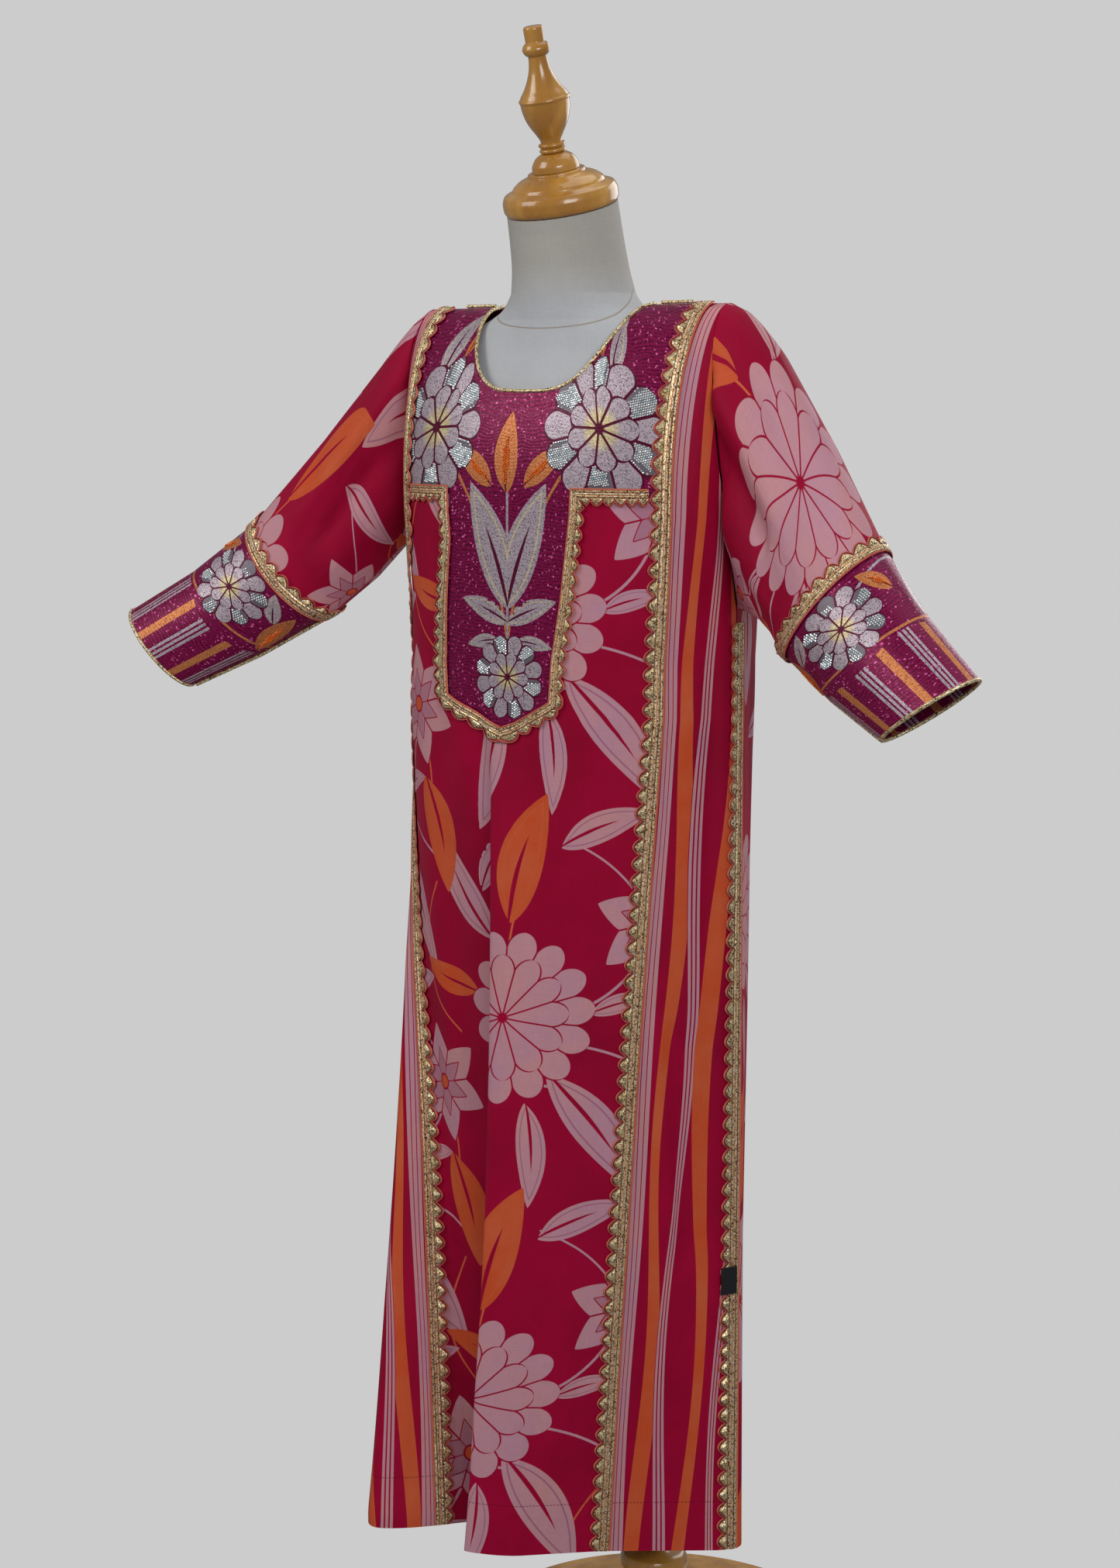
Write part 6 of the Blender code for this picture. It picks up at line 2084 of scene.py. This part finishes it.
def make_linen():
    """Pale linen: woven threads both ways on the round form, and a thin seam line round its neck."""
    made, tree, shader = new_material("pale_linen", 0.86, sheen=0.12, specular=0.25)
    place = object_place(tree)
    x, y, z = split(place)
    round_it = calc("ARCTAN2", x + 0.04, -0.078 - y) * 0.075
    flat = join(round_it, z)
    weave = use_group(plain_weave, Flat=flat, Pitch=0.0008)
    stain = noise(place, 7.0, 3.0, 0.6)
    colour = blend(ramp(stain, 0.35, 0.68), (0.5, 0.515, 0.53), (0.575, 0.585, 0.61))
    colour = blend(ramp(z, 1.235, 1.275, 0.0, 0.8), colour, (0.455, 0.43, 0.365))
    colour = blend(0.5, colour, ramp(weave["Shade"], 0.0, 1.0, 0.36, 0.66), "OVERLAY")
    lean = (y + 0.08) * 0.55 + NECK_SEAM_HEIGHT
    seam = ramp(abs(z - lean), 0.00065, 0.00025)
    colour = blend(seam * 0.75, colour, (0.33, 0.245, 0.17))
    feed(shader["Base Color"], colour)
    feed(shader["Roughness"], ramp(weave["Shade"], 0.0, 1.0, 0.76, 0.94))
    height = weave["Height"] - seam * 1.5
    feed(shader["Normal"], bump(height, 0.55, 0.00022))
    return made


def make_wood():
    """Honey coloured wood: rings of a turned blank, stretched grain and pores, under varnish."""
    made, tree, shader = new_material("varnished_wood", 0.26, coat=0.65, specular=0.5)
    place = object_place(tree)
    bent = vector_calc("ADD", place, vector_calc("SCALE", join(noise(place, 5.0), noise(place, 7.0)), 0.03))
    x, y, z = split(bent)
    across = join(x, y, z * 0.06)
    grain = noise(across, 220.0, 4.0, 0.62)
    rings = noise(across, 34.0, 2.0, 0.5)
    colour = blend(ramp(rings, 0.36, 0.64), (0.43, 0.19, 0.026), (0.64, 0.33, 0.06))
    colour = blend(ramp(grain, 0.6, 0.78), colour, (0.28, 0.1, 0.014))
    feed(shader["Base Color"], colour)
    feed(shader["Roughness"], ramp(grain, 0.3, 0.8, 0.2, 0.4))
    feed(shader["Normal"], bump(grain, 0.18, 0.0001))
    return made


def make_label_cloth():
    """Black woven tape: fine ribs across and a little grain."""
    made, tree, shader = new_material("black_tape", 0.62, sheen=0.03, specular=0.2)
    flat = uv_of(tree, "cloth")
    _, y, _ = split(flat)
    ribs = sine(y * (2.0 * math.pi / 0.0007))
    grain = noise(flat, 2600.0)
    feed(shader["Base Color"], blend(grain, (0.006, 0.006, 0.008), (0.026, 0.026, 0.03)))
    feed(shader["Roughness"], ramp(grain, 0.3, 0.7, 0.48, 0.72))
    feed(shader["Normal"], bump(ribs + grain, 0.4, 0.0001))
    return made


def even_backdrop(tree, socket):
    """A pale grey where the picture sees it, and a dimmer one as light on the object."""
    path = tree.nodes.new("ShaderNodeLightPath")
    feed(socket, blend(Value(path.outputs["Is Camera Ray"]), AMBIENT, BACKDROP))


def make_backdrop():
    """A floor that glows evenly, as the photograph's flat backdrop does."""
    made = bpy.data.materials.new("pale_backdrop")
    made.use_nodes = True
    tree = made.node_tree
    tree.nodes.clear()
    glow = tree.nodes.new("ShaderNodeEmission")
    even_backdrop(tree, glow.inputs["Color"])
    out = tree.nodes.new("ShaderNodeOutputMaterial")
    tree.links.new(glow.outputs[0], out.inputs["Surface"])
    return made


torso.data.materials.append(make_linen())
honey_wood = make_wood()
for piece in wooden:
    piece.data.materials.append(honey_wood)
label.data.materials.append(make_label_cloth())
floor_paint = make_backdrop()
print("materials:", len(bpy.data.materials))


# %% [markdown]
# ## Floor and light
# The photograph has an even pale backdrop and soft light from the upper left, with a
# weaker one from the right. Here the floor and the air give an even pale light, and four
# large soft lights stand round the form.

# %% Floor
FLOOR_RADIUS = 12.0


def build_floor():
    """A flat disc just under the base, as rings whose radius grows in even steps."""
    radius = np.concatenate(((0.0005,), np.linspace(0.5, FLOOR_RADIUS, 24)))[:, None]
    turn = np.linspace(0.0, 2.0 * math.pi, 64, endpoint=False)
    x, y = radius * np.cos(turn), radius * np.sin(turn)
    grid = np.stack((x, y, np.full(x.shape, -0.0002)), axis=-1)
    return make_object("studio_floor", grid.reshape(-1, 3), grid_faces(*x.shape))


floor = build_floor()
floor.data.materials.append(floor_paint)


# %% Lights
def soft_light(name, place, target, size, power, colour):
    """A square area light that faces a target."""
    lamp = bpy.data.lights.new(name, "AREA")
    lamp.size = size
    lamp.energy = power
    lamp.color = colour
    made = bpy.data.objects.new(name, lamp)
    made.location = place
    aim = Vector(target) - Vector(place)
    made.rotation_euler = aim.to_track_quat("-Z", "Y").to_euler()
    bpy.context.scene.collection.objects.link(made)


soft_light("key_light", (-1.6, -2.3, 2.6), (0.0, -0.05, 0.85), 1.5, 32.0, (1.0, 0.985, 0.965))
soft_light("fill_light", (2.2, -2.0, 2.0), (0.0, -0.05, 0.80), 1.3, 38.0, (0.985, 0.990, 1.0))
soft_light("top_light", (0.2, 0.4, 3.4), (0.0, 0.0, 0.9), 2.0, 14.0, (1.0, 1.0, 1.0))
soft_light("back_light", (0.4, 2.8, 2.0), (0.0, 0.0, 0.80), 2.2, 34.0, (1.0, 1.0, 1.0))
world = bpy.data.worlds.new("studio_air")
world.use_nodes = True
even_backdrop(world.node_tree, world.node_tree.nodes["Background"].inputs["Color"])
world.node_tree.nodes["Background"].inputs["Strength"].default_value = 1.0
bpy.context.scene.world = world

# %% [markdown]
# ## Riding on the root
# The garment and its form are one rigid body, so every piece rides on the root. The
# flat cut of each cut-and-sewn piece is printed with its size.

# %% Ride
def flat_size(piece):
    """Width, length and area of a piece's flat cut, from its flat coordinates.

    A wall has the cut on both its faces, so half the area of all its faces counts.
    """
    flat, owner, _ = face_corners(piece.data)
    starts = np.empty(len(piece.data.polygons), int)
    piece.data.polygons.foreach_get("loop_start", starts)
    last = np.concatenate((starts[1:], (len(flat),))) - 1
    after = np.arange(1, len(flat) + 1)
    after[last] = starts
    cross = flat[:, 0] * flat[after, 1] - flat[after, 0] * flat[:, 1]
    area = np.abs(np.bincount(owner, cross)).sum() * 0.25
    width, length = np.ptp(flat, axis=0)
    return float(width), float(length), float(area)


def declare(piece):
    """Print the flat cut of one cloth piece: its width, length and area."""
    width, length, area = flat_size(piece)
    print("%-22s cut %.3f x %.3f m, area %.3f" % (piece.name, width, length, area))


garment = [front, yoke, back] + list(side_panels.values())
garment += [piece for pair in sleeves.values() for piece in pair]
for piece in garment + [label, torso, cut_stones, orange_beads] + braids + cords + wooden:
    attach(piece, "root")
by_name = {piece.name: piece for piece in braids + cords + [label, cut_stones, orange_beads]}

# %% Cut sizes
declare(front)
declare(yoke)
declare(back)
for side, word in ((1, "left"), (-1, "right")):
    sewn = ["braid_side_left", "label_tape"] if side > 0 else ["braid_side_right"]
    declare(side_panels[side])
    declare(sleeves[side][0])
    declare(sleeves[side][1])
for piece in braids + cords:
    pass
